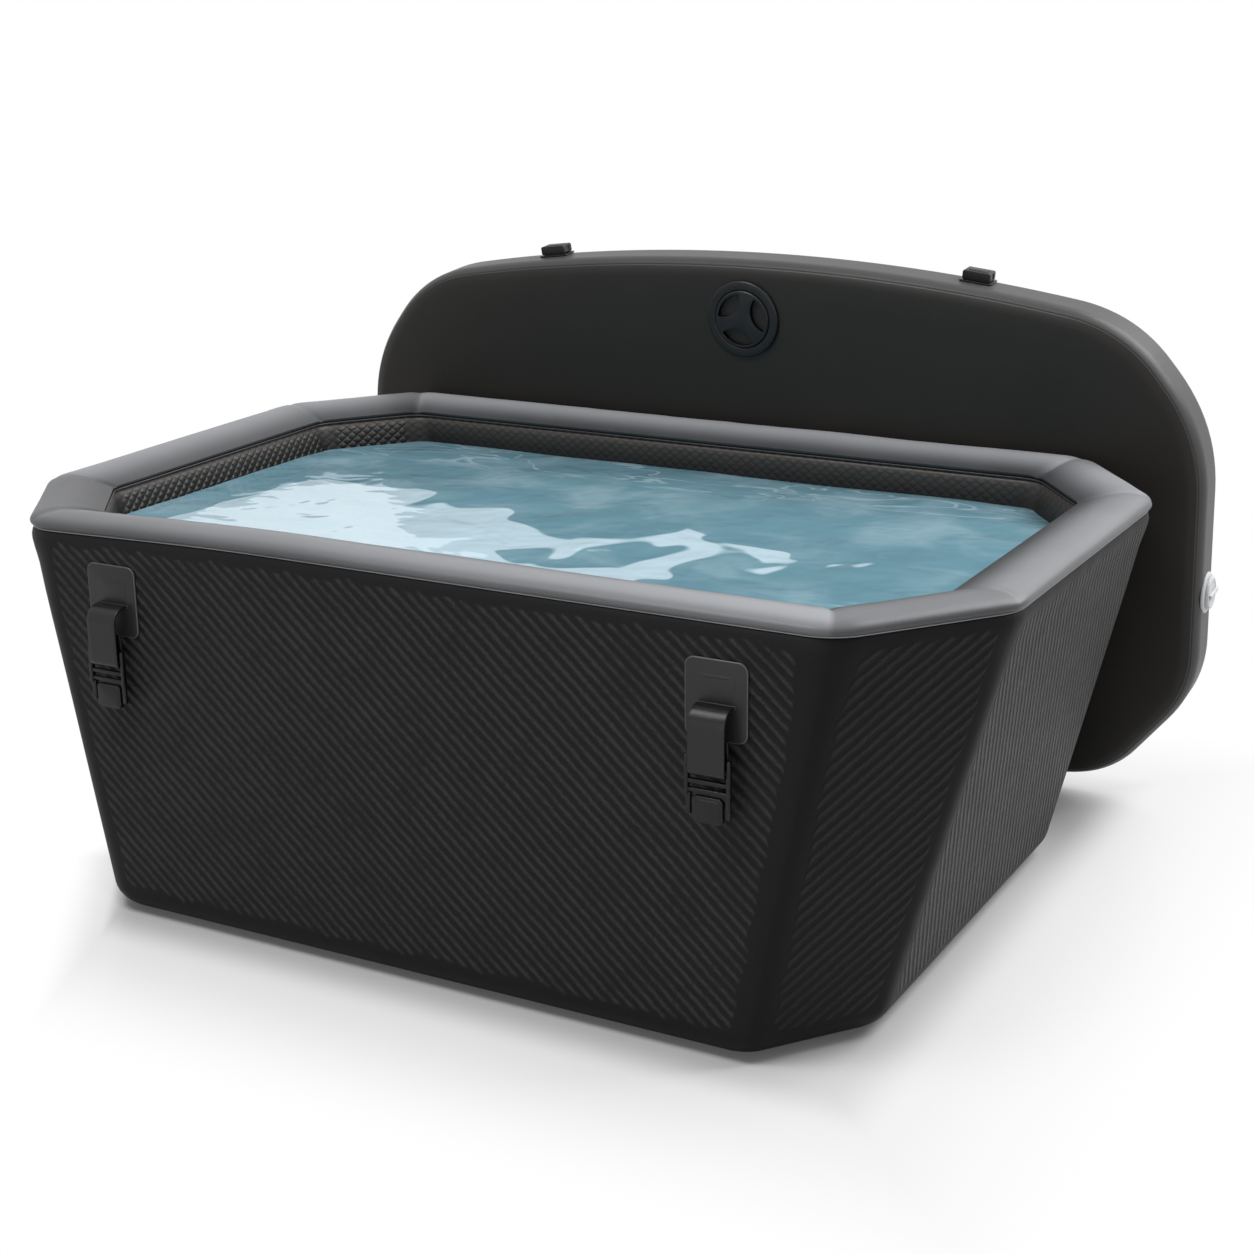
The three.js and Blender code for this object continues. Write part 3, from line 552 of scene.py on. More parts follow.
def arc(centre, radius, start, end, steps):
    """Points of an arc, from one angle in degrees to another."""
    angles = [math.radians(start + (end - start) * k / steps) for k in range(steps + 1)]
    return [(centre[0] + radius * math.cos(a), centre[1] + radius * math.sin(a)) for a in angles]


# Modelling by hand

def only(*pieces):
    bpy.ops.object.select_all(action="DESELECT")
    for piece in pieces:
        piece.select_set(True)
    if pieces:
        bpy.context.view_layer.objects.active = pieces[0]


def primitive(name, kind, scale=(1.0, 1.0, 1.0), **sizes):
    """A plane, grid, cube or cylinder at its place, with its scale applied."""
    only()
    getattr(bpy.ops.mesh, f"primitive_{kind}_add")(**sizes)
    piece = bpy.context.object
    piece.name = name
    piece.data.name = name
    piece.scale = scale
    bpy.ops.object.transform_apply(location=True, rotation=True, scale=True)
    return piece


def cylinder(name, vertices, radius, depth, place):
    return primitive(name, "cylinder", vertices=vertices, radius=radius, depth=depth, location=place)


@contextmanager
def editing(piece):
    """Edit mode, with everything selected."""
    only(piece)
    bpy.ops.object.mode_set(mode="EDIT")
    bpy.ops.mesh.select_mode(type="VERT")
    select_all()
    yield
    bpy.ops.object.mode_set(mode="OBJECT")


def select_all():
    bpy.ops.mesh.select_all(action="SELECT")


def choose(piece, kind, test):
    """Select the vertices, edges or faces that pass the test, in edit mode."""
    bpy.ops.mesh.select_mode(type=kind)
    bpy.ops.mesh.select_all(action="DESELECT")
    mesh = bmesh.from_edit_mesh(piece.data)
    for element in {"VERT": mesh.verts, "EDGE": mesh.edges, "FACE": mesh.faces}[kind]:
        if test(element):
            element.select_set(True)
    mesh.select_flush_mode()
    bmesh.update_edit_mesh(piece.data)


def extrude(x, y, z):
    bpy.ops.mesh.extrude_region_move(TRANSFORM_OT_translate={"value": (x, y, z)})


def face_outwards():
    select_all()
    bpy.ops.mesh.normals_make_consistent(inside=False)


def round_edges(piece, offset, segments, test):
    """Round the edges that pass the test, in edit mode."""
    choose(piece, "EDGE", test)
    bpy.ops.mesh.bevel(offset=offset, segments=segments, affect="EDGES")


def apply_modifier(piece, kind, **settings):
    only(piece)
    modifier = piece.modifiers.new(kind.title(), kind)
    for key, value in settings.items():
        setattr(modifier, key, value)
    bpy.ops.object.modifier_apply(modifier=modifier.name)


def soften(piece, width, segments, angle):
    apply_modifier(piece, "BEVEL", width=width, segments=segments, limit_method="ANGLE",
                   angle_limit=math.radians(angle), harden_normals=False)


def block(name, across, along, through, bevel=0.0, segments=2):
    """A box between three pairs of limits, its edges rounded."""
    low, high = [Vector(corner) for corner in zip(across, along, through)]
    piece = primitive(name, "cube", size=1.0, location=(low + high) / 2, scale=high - low)
    if bevel:
        with editing(piece):
            bpy.ops.mesh.bevel(offset=bevel, segments=segments, affect="EDGES", clamp_overlap=True)
    return piece


def plate(name, half, along, through, corner, bevel):
    """A flat plate with rounded corners and a softened upper edge."""
    low, high = through
    size = (2 * half, along[1] - along[0], 1.0)
    piece = primitive(name, "plane", size=1.0, location=(0, sum(along) / 2, low), scale=size)
    with editing(piece):
        bpy.ops.mesh.bevel(offset=corner, segments=6, affect="VERTICES")
        select_all()
        extrude(0, 0, high - low)
        face_outwards()
        round_edges(piece, bevel, 3, lambda e: min(v.co.z for v in e.verts) > high - 1e-6)
    return piece


def turned(name, profile, rounding=(0.0005, 2, 30), steps=64, tools=()):
    """A solid of revolution round Z from a profile of (radius, height), cut by tools, its edges rounded."""
    piece = primitive(name, "plane", size=0.01)
    with editing(piece):
        bpy.ops.mesh.merge(type="CENTER")
        select_all()
        bpy.ops.transform.translate(value=(profile[0][0], 0, profile[0][1]))
        for (r0, z0), (r1, z1) in zip(profile, profile[1:]):
            extrude(r1 - r0, 0, z1 - z0)
        select_all()
        bpy.ops.mesh.spin(steps=steps, angle=2 * math.pi, center=(0, 0, 0), axis=(0, 0, 1))
        select_all()
        bpy.ops.mesh.remove_doubles(threshold=2e-5)
        bpy.ops.mesh.normals_make_consistent(inside=False)
    for tool in tools:
        trim(piece, tool, "DIFFERENCE")
    soften(piece, *rounding)
    return piece


def trim(piece, tool, operation):
    """Cut a piece with a tool, or keep what they share, and drop the tool."""
    apply_modifier(piece, "BOOLEAN", operation=operation, solver="EXACT", object=tool)
    bpy.data.objects.remove(tool)


def join(*pieces):
    only(*pieces)
    bpy.ops.object.join()
    return pieces[0]


def put(piece, matrix, name):
    """Name a piece and move its mesh from its own frame to its place on the object."""
    piece.name = name
    piece.data.transform(matrix)
    piece.data.update()
    return piece


def dress(piece, body, slot, *finishes, stands_for=(), angle=38, ends=None):
    """Shade a piece, give it its finishes, attach it to its body or, for a piece given two ends, bake its
    place into its mesh, and hide its solids.
    """
    only(piece)
    bpy.ops.object.shade_smooth_by_angle(angle=math.radians(angle))
    for finish in finishes:
        piece.data.materials.append(finish)
    if ends:
        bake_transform(piece)
    else:
        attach(piece, body)
    if stands_for:
        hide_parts(*stands_for)


# Frames of the parts that sit on a wall or on the lid

def wall_frame(name, along, height):
    """x along a wall, y up it and z straight out of it."""
    side = next(s for s in SIDES if s.name == name)
    nx, ny = side.normal
    out = Vector((nx, ny, -side.slope)).normalized()
    up = Vector((nx * side.slope, ny * side.slope, 1.0)).normalized()
    across = up.cross(out)
    place = Matrix((across, up, out)).transposed().to_4x4()
    place.translation = Vector((nx * side.reach(height), ny * side.reach(height), height)) + across * along
    return place


def lid_frame(*place):
    """The lid's own frame, moved to a place on the lid."""
    stand = Matrix.Translation(LID_PLACE) @ Matrix.Rotation(math.pi / 2 + LID_LEAN, 4, "X")
    return stand @ Matrix.Translation(place or (0, 0, 0))


def arch_height(x):
    return LID_HALF_WIDTH - LID_ARCH + math.sqrt(LID_ARCH ** 2 - x ** 2)


# Finishes

def ribbed_finish(sizes, colours):
    """Diagonal ribs that fade out towards the panels' edges and are worn in patches. The rib crests are
    painted lighter as highlight and the valleys darker as shade, and each panel takes its painted light
    level, which also scales its relief.
    """
    finish = Finish("ribbed_wall", colours.wall, 0.52, 0.11)
    along, up = finish.panel()
    # Painted light level of the panel: corner panels painted darker, end panels painted lighter
    panel_painted_light = finish.attribute("panel_painted_light")
    mask = finish.fade(finish.attribute("rib_mask") + (finish.clouds(30.0) - 0.5) * 1.1, 0.25, 0.6)
    sway = finish.clouds(7.0) * 1.6 + finish.clouds(42.0, 1.0) * 1.1 + finish.clouds(170.0) * 1.7
    turns = (along + up) * (2 * math.pi / (math.sqrt(2) * sizes.rib_pitch)) + sway
    ridge = (turns.sine() * 0.5 + 0.5) ** 1.6
    worn = finish.clouds(16.0, 3.0) * 0.5 + finish.clouds(120.0) * 0.5
    rib = ridge * mask * (finish.fade(worn, 0.3, 0.62) * 0.5 + 0.5)
    grain = finish.clouds(520.0, 3.0)
    # Painted highlight on the rib crests and painted shade in the valleys, with a little grain; the worn
    # patches break up the painted highlights
    tone = finish.fade(rib * 0.75 + grain * 0.25, 0.1, 0.95) * 0.9 + 0.1
    finish.tones(tone * panel_painted_light, colours.wall, 0.25, 2.0)
    finish.set("Roughness", finish.clouds(30.0, 4.0) * 0.16 + 0.45)
    swell = finish.clouds(9.0, 1.0) * 0.5
    finish.bump(rib * (panel_painted_light * 0.4 + 0.5) + grain * 0.06 + swell, sizes.rib_height)
    return finish.material


def welded_sheet(name, colour, roughness, gloss, grain_height, swell):
    """Smooth welded sheet with a fine grain, faint dents and a slightly uneven gloss, and how worn it is."""
    finish = Finish(name, colour, roughness, gloss)
    grain = finish.clouds(640.0, 3.0)
    worn = finish.clouds(5.0, 4.0)
    finish.set("Roughness", worn * 0.12 + (roughness - 0.06))
    finish.bump(grain * (grain_height / swell) + finish.clouds(14.0), swell)
    return finish, finish.fade(worn * 0.6 + grain * 0.4, 0.3, 0.7)


def padded_finish(name, colour, roughness, grain_height=0.00022, swell=0.0006, gloss=0.42):
    finish, wear = welded_sheet(name, colour, roughness, gloss, grain_height, swell)
    finish.tones(wear, colour, 0.88, 1.12)
    return finish.material


def rim_finish(colours):
    """Satin sheet painted lightest along the rim's crest as highlight and darker towards its two seams as
    shade, with a little wear.
    """
    finish, wear = welded_sheet("rim_satin", colours.rim, 0.42, 0.3, 0.000216, 0.0006)
    finish.tones(finish.attribute("crest") * 0.93 + wear * 0.07, colours.rim, 0.2, 3.2)
    return finish.material


def liner_finish(sizes, colours):
    """Rows of raised diamonds, painted lighter as highlight with brown painted glints, painted light along
    the top and painted shade towards the water.
    """
    finish = Finish("diamond_liner", colours.liner, 0.42, 0.3)
    along, up = finish.panel()
    mask = finish.attribute("rib_mask")
    rate = math.pi / sizes.diamond_pitch
    rising = ((along * 0.8 + up) * rate).sine().size()
    falling = ((along * 0.8 - up) * rate).sine().size()
    diamonds = (rising * falling) ** 0.6
    grain = finish.clouds(420.0)
    # Painted brown glints on the diamonds, where the side's relief allows
    painted_glint = finish.fade(finish.clouds(90.0), 0.45, 0.7) * diamonds * mask
    # Painted light at the top of the liner, fading to painted shade towards the water
    height = finish.fade(finish.axis("Z"), sizes.water_level + 0.004, SEAM_HEIGHT - 0.006)
    finish.tones(height * (diamonds * 0.6 + 0.4) + painted_glint * 0.15, colours.liner, 0.3, 2.0)
    finish.set("Roughness", grain * 0.2 + 0.32)
    finish.bump(diamonds * mask + grain * 0.08, 0.0022)
    return finish.material


def webbing_finish(name, colours):
    """Woven polyester: slanted weft and warp under a little fuzz."""
    finish = Finish(name, colours.webbing, 0.3, 0.28)
    x, z = finish.axis("X"), finish.axis("Z")
    weft = ((z + x * 0.5) * 5200.0).sine()
    warp = ((x - z * 0.25) * 4200.0).sine()
    weave = weft * warp * 0.5 + 0.5
    fuzz = finish.clouds(900.0)
    finish.tones(finish.fade(weave * 0.6 + fuzz * 0.4, 0.2, 0.8), colours.webbing, 0.8, 1.15)
    finish.set("Roughness", fuzz * 0.12 + 0.18)
    finish.bump(weave + fuzz * 0.4, 0.00008)
    return finish.material


def moulded_finish(name, colour, roughness, grain_height=0.00012, gloss=0.32):
    """Moulded plastic or rubber with a fine spark texture."""
    finish = Finish(name, colour, roughness, gloss)
    spark = finish.clouds(1500.0)
    cloud = finish.clouds(40.0, 3.0)
    finish.tones(cloud, colour, 0.9, 1.1)
    finish.set("Roughness", spark * 0.14 + cloud * 0.1 + (roughness - 0.12))
    finish.bump(spark, grain_height)
    return finish.material


def steel_finish(colours):
    finish = Finish("coil_steel", colours.steel, 0.3, Metallic=1.0)
    drawn = finish.clouds(1.0, stretch=(900.0, 900.0, 120.0))
    finish.tones(drawn, colours.steel, 0.85, 1.05)
    finish.set("Roughness", drawn * 0.2 + 0.2)
    return finish.material


def water_finish(colours):
    """Clear blue water with painted reflections: one large painted reflection field at the front left, fine
    painted reflection lines towards the back, and faint lighter swells.
    """
    finish = Finish("water", colours.water_deep, 0.05, 0.3, IOR=1.333)
    x, y = finish.axis("X"), finish.axis("Y")
    front_left = x * -0.62 + y * -0.785
    lean = (front_left - 0.11).most(-0.06).least(0.3)
    clear = finish.fade(y, 0.0, 0.16) * 0.2 + finish.fade(x * -1.0, 0.50, 0.57) * 0.5
    front_edge = finish.fade(y * -1.0, 0.10, 0.30) * 0.07 + finish.fade(y * -1.0, 0.31, 0.38) * 0.08
    patches = finish.clouds(4.6, 2.0, 0.5) - 0.5
    # Painted reflection: a large field at the front left and small patches near the front edge, none at the
    # back or far left
    bright = finish.fade(patches + lean * 1.3 + front_edge - clear, 0.0, 0.02)
    crest = finish.clouds(1.0, 2.0, 0.8, (5.0, 13.0, 1.0))
    reflection_line = 1.0 - finish.fade((crest - 0.5).size(), 0.004, 0.024)
    band = finish.fade(y, 0.22, 0.30) - finish.fade(y, 0.37, 0.42)
    swell = finish.fade(finish.clouds(8.0, 3.0, 0.4), 0.4, 0.75) * 0.3
    finish.between(bright.most(reflection_line * band * 0.5).most(swell), colours.water_deep, colours.painted_water_reflection)
    finish.bump(finish.clouds(11.0, 2.0, 0.3), 0.006)
    return finish.material


# Operators

class TubOperator:
    bl_options = {"REGISTER", "UNDO"}

    def execute(self, context):
        self.build(context.scene.tub_sizes, context.scene.tub_colours)
        return {"FINISHED"}


class TUB_OT_walls(TubOperator, bpy.types.Operator):
    """Build the ribbed outer walls, the liner and the floor as one padded shell"""

    bl_idname = "tub.walls"
    bl_label = "Walls and liner"

    def build(self, sizes, colours):
        foot = arc((FOOT_RADIUS, BASE_SHEET + FOOT_RADIUS), FOOT_RADIUS, 270, 180, 8)
        bowl = arc((WALL + BOWL_RADIUS, FLOOR_TOP + BOWL_RADIUS), BOWL_RADIUS, 180, 270, 6)
        outer = [*foot, *[(0.0, z) for z in WALL_HEIGHTS], *WALL_SHOULDER]
        liner = [*LINER_ROLL, *[(WALL, z) for z in LINER_HEIGHTS], *bowl]
        points, masks, tones = [], [], []
        for row, (inset, z) in enumerate(outer + liner):
            outside = row < len(outer)
            ring = tub_ring(inset, z, self.corner_radius(sizes, z) if outside else LINER_RADIUS)
            for point, owner, clear in ring:
                points.append(point)
                # Each wall point takes its side's painted light level: corner panels painted darker, end
                # panels painted lighter
                tones.append(PANEL_PAINTED_LIGHT[owner % 4])
                masks.append(self.rib_mask(z, clear) if outside else self.diamond_mask(z, clear, owner))
        count = len(ring)
        piece = mesh_piece("tub_wall", points, capped_faces(len(outer + liner), count))
        store(piece, "rib_mask", masks)
        store(piece, "panel_painted_light", tones)
        for polygon in piece.data.polygons:
            polygon.material_index = 0 if max(polygon.vertices) < len(outer) * count else 1
        self.unwrap(piece.data, count)
        solids = ["wall_" + side.name for side in SIDES]
        dress(piece, "tub", "wall_pvc", ribbed_finish(sizes, colours), liner_finish(sizes, colours),
              stands_for=[*solids, "floor_panel"], angle=50)

    @staticmethod
    def corner_radius(sizes, z):
        return sizes.corner_radius + (sizes.rim_radius - sizes.corner_radius) * smooth(z, 0.44, SEAM_HEIGHT)

    @staticmethod
    def rib_mask(z, clear):
        upright = smooth(z, RIB_FOOT, 2 * RIB_FOOT) * smooth(RIB_TOP - z, 0.0, 0.028)
        return smooth(clear, -0.004, 0.018) * upright

    @staticmethod
    def diamond_mask(z, clear, owner):
        return LINER_RELIEF[owner] * smooth(clear, -0.004, 0.008) * smooth(RIB_TOP - z, 0.0, 0.008)

    @staticmethod
    def unwrap(mesh, count):
        """Lay each side flat: along it, mirrored on every other side, and up its slope."""
        layer = mesh.uv_layers.new(name="panel")
        spans = []
        for i in range(len(SIDES)):
            spans += [i] * (RUN_STEPS[i] + ARC_STEPS // 2) + [(i + 1) % len(SIDES)] * (ARC_STEPS // 2)
        for polygon in mesh.polygons:
            if len(polygon.vertices) > 4:
                continue
            index = spans[polygon.vertices[0] % count]
            side = SIDES[index]
            across, upward = (1.0, 1.0) if polygon.material_index else RIB_SCALES[index % 4]
            stretch = math.hypot(1.0, side.slope)
            for loop in polygon.loop_indices:
                point = mesh.vertices[mesh.loops[loop].vertex_index].co
                layer.data[loop].uv = (across * side.along.dot(point.xy), upward * point.z * stretch)


class TUB_OT_rim(TubOperator, bpy.types.Operator):
    """Build the padded rim with its mitre creases, and the welts of its two seams"""

    bl_idname = "tub.rim"
    bl_label = "Rim and seam welts"

    def build(self, sizes, colours):
        profile = self.profile(2 / sizes.rim_fullness)
        points, painted_crest_lights = [], []
        for inset, z in profile:
            share = min(1.0, max(0.0, inset / WALL))
            ring = tub_ring(inset, z, sizes.rim_radius + (LINER_RADIUS - sizes.rim_radius) * share)
            points += self.crease(ring, (z - RIM_FOOT) / RIM_RISE, inset)
            # Painted highlight along the crest and painted shade towards both seams, scaled by each length's
            # painted light level
            crest = smooth(share, -0.14, 0.2) * smooth(1.0 - share, 0.0, 0.6)
            painted_crest_lights += [crest * self.tone(point, owner) for point, owner, clear in ring]
        piece = mesh_piece("rim", points, ring_faces(len(profile), len(ring), True))
        store(piece, "crest", painted_crest_lights)
        solids = ["rim_" + side.name for side in SIDES]
        dress(piece, "tub", "rim_pvc", rim_finish(colours), stands_for=solids, angle=60)
        # The outer welt is lightened as a painted highlight of the seam line; the inner welt takes that
        # colour dimmed to a dark line
        outer = padded_finish("outer_welt_painted_highlight", colours.seam, 0.4)
        inner = padded_finish("inner_welt", scaled(colours.seam, 0.12), 0.4)
        self.welt("outer_seam_welt", SEAM_PINCH - 0.0012, sizes.rim_radius, outer)
        self.welt("inner_seam_welt", WALL - 0.0006, LINER_RADIUS, inner)

    @staticmethod
    def profile(power):
        """The rim's section: up its outer side to the crest, down the inner slope, back along the seam."""
        low = RIM_FOOT + RIM_TUCK
        rise = RIM_RISE - RIM_TUCK
        section = []
        for k in range(RIM_STEPS + 1):
            angle = math.pi / 2 * k / RIM_STEPS
            across = 1 - math.cos(angle) ** power
            section.append((RIM_CREST * across, low + rise * math.sin(angle) ** power))
        for k in range(1, RIM_STEPS + 1):
            share = k / RIM_STEPS
            drop = share ** RIM_INNER_SLOPE
            section.append((RIM_CREST + (WALL - RIM_CREST) * share, low + rise * (1 - drop)))
        return section + [(WALL - inset, z) for inset, z in RIM_TUCK_ROLL] + RIM_TUCK_ROLL[::-1]

    @staticmethod
    def tone(point, owner):
        """Painted light level of one length of the rim. The front length is painted lighter towards its right
        end.
        """
        return RIM_PAINTED_LIGHT[owner] + (0.0 if owner else RIM_FRONT_PAINTED_RISE * point.x)

    @staticmethod
    def crease(ring, height, inset):
        """Pinch the section a little where two lengths of rim meet, and add sag and faint dents along it."""
        depth = CREASE_OUTER + CREASE_INNER * max(0.0, inset / WALL) ** 2
        run = 0
        points = []
        for point, owner, clear in ring:
            run = run + 1 if clear == 0.0 else 0
            middle = abs(run - 1 - ARC_STEPS / 2)
            pinch = depth * math.exp(-(middle / CREASE_WIDTH) ** 2) if run else 0.0
            dent = sum(size * noise.noise(point * rate) for size, rate in RIM_DENTS)
            sag = RIM_FRONT_SAG * (0.5 - point.y)
            drop = max(height, 0.0) * (RIM_SLACK + dent + sag) + min(max(height * 1.5, 0.0), 1.0) * pinch
            points.append(point - Vector((0, 0, drop)))
        return points

    @staticmethod
    def welt(name, inset, radius, finish):
        section = arc((inset, SEAM_HEIGHT - 0.0004), BEAD_RADIUS, 180, -150, 11)
        rings = [[point for point, owner, clear in tub_ring(across, z, radius)] for across, z in section]
        piece = mesh_piece(name + "_bead", sum(rings, []), ring_faces(len(rings), len(rings[0]), True))
        dress(piece, "tub", "rim_pvc", finish, stands_for=[name], angle=60)


class TUB_OT_water(TubOperator, bpy.types.Operator):
    """Fill the tub with water: a rippled surface trimmed to the liner"""

    bl_idname = "tub.water"
    bl_label = "Water"

    def build(self, sizes, colours):
        level = sizes.water_level
        columns, rows = WATER_GRID
        piece = primitive("water", "grid", x_subdivisions=columns, y_subdivisions=rows, size=1.0,
                          location=(0, 0, level), scale=WATER_SHEET)
        with editing(piece):
            for side in SIDES:
                select_all()
                edge = side.normal * (side.reach(level) - WALL - WATER_GAP)
                bpy.ops.mesh.bisect(plane_co=(*edge, level), plane_no=(*side.normal, 0.0), clear_outer=True)
            select_all()
            extrude(0, 0, -WATER_DEPTH)
            face_outwards()
            mesh = bmesh.from_edit_mesh(piece.data)
            for vertex in mesh.verts:
                if vertex.co.z > level - WATER_DEPTH / 2:
                    vertex.co.z += sizes.ripple_height * self.ripple(vertex.co)
            bmesh.update_edit_mesh(piece.data)
        dress(piece, "tub", None, water_finish(colours), angle=60)

    @staticmethod
    def ripple(point):
        long = noise.noise(Vector((point.x * 4.0, point.y * 5.0, 0.3)))
        short = noise.noise(Vector((point.x * 11.0, point.y * 14.0, 2.7)))
        return long + 0.35 * short


class TUB_OT_straps(TubOperator, bpy.types.Operator):
    """Build the two strap patches, the straps that hang from them and their buckle plugs"""

    bl_idname = "tub.straps"
    bl_label = "Straps and buckle plugs"

    def build(self, sizes, colours):
        patch_pvc = padded_finish("patch_pvc", colours.patch, 0.38, 0.00016, 0.0004, 0.26)
        # Three times lighter than the patch: a painted highlight along the bevelled edges
        painted_patch_edge_highlight = padded_finish("painted_patch_edge_highlight", scaled(colours.patch, 3.0), 0.38, 0.00016, 0.0004, 0.5)
        webbing = webbing_finish("strap_webbing", colours)
        plastic = moulded_finish("buckle_plastic", colours.plastic, 0.28, gloss=0.26)
        for side, x in (("left", -STRAP_X), ("right", STRAP_X)):
            place = wall_frame("front", x, STRAP_HEIGHT)
            bar = place @ Matrix.Translation((0, BAR_UP, BAR_OUT))
            y = place.translation.y - HINGE_OUT
            patch = put(self.patch(), place, side + "_patch_plate")
            dress(patch, "tub", "rim_pvc", patch_pvc, painted_patch_edge_highlight, stands_for=[side + "_patch"])
            plug = put(self.plug(), bar, side + "_plug_buckle")
            dress(plug, side + "_plug", "black_plastic", plastic, stands_for=[side + "_buckle_plug"])
            strap = put(self.strap(), place, side + "_strap_webbing")
            dress(strap, ("tub", side + "_strap"), "webbing", webbing, angle=50,
                  stands_for=[side + "_strap_root", side + "_strap"],
                  ends=((x, y, HINGE_START_Z), (x, y, HINGE_END_Z)))

    @staticmethod
    def patch():
        """The welded plate, its bevelled edge given a second, lighter finish as a painted highlight."""
        piece = join(*[plate(*row) for row in PATCH_PLATES])
        for polygon in piece.data.polygons:
            half, low, high = PATCH_FACE
            edge = abs(polygon.center.x) > half or not low < polygon.center.y < high
            polygon.material_index = 1 if edge and 0.1 < polygon.normal.z < 0.98 else 0
        return piece

    @staticmethod
    def strap():
        """A strip of webbing from its patch's slit, over and down, round the buckle's bar and up again."""
        bend = arc((STRAP_BEND_OUT, -STRAP_BEND), STRAP_BEND, 90, 0, 14)
        down = [(bend[-1][0], -STRAP_BEND - STRAP_DROP * k / 10) for k in range(1, 10)]
        loop = arc((BAR_OUT, BAR_UP), STRAP_WRAP, 0, -180, 14)
        tail = [(loop[-1][0] + STRAP_TAIL_LEAN * k, loop[-1][1] + STRAP_TAIL * k / 6) for k in range(1, 7)]
        path = [*STRAP_ROOT, *bend, *down, *loop, *tail]
        piece = primitive("strap", "plane", size=STRAP_WIDTH)
        with editing(piece):
            choose(piece, "VERT", lambda v: v.co.y > 0)
            bpy.ops.mesh.delete(type="VERT")
            select_all()
            bpy.ops.mesh.subdivide(number_cuts=7)
            select_all()
            bpy.ops.transform.translate(value=(0, STRAP_WIDTH / 2 + path[0][1], path[0][0]))
            for (o0, u0), (o1, u1) in zip(path, path[1:]):
                extrude(0, u1 - u0, o1 - o0)
            face_outwards()
        apply_modifier(piece, "SOLIDIFY", thickness=STRAP_THICK, offset=0.0, use_even_offset=True)
        soften(piece, 0.0009, 3, 50)
        return piece

    @staticmethod
    def plug():
        """Two proud side rails, the bars between them, the tongue plate and the spring arms beside it."""
        parts = []
        for sign in (-1, 1):
            for name, across, *rest in PLUG_SIDES:
                parts.append(block(name, sorted(sign * x for x in across), *rest))
        parts += [block(*row) for row in PLUG_BARS]
        tongue, thumb = [plate(*row) for row in TONGUE_PLATES]
        return join(tongue, *parts, thumb)


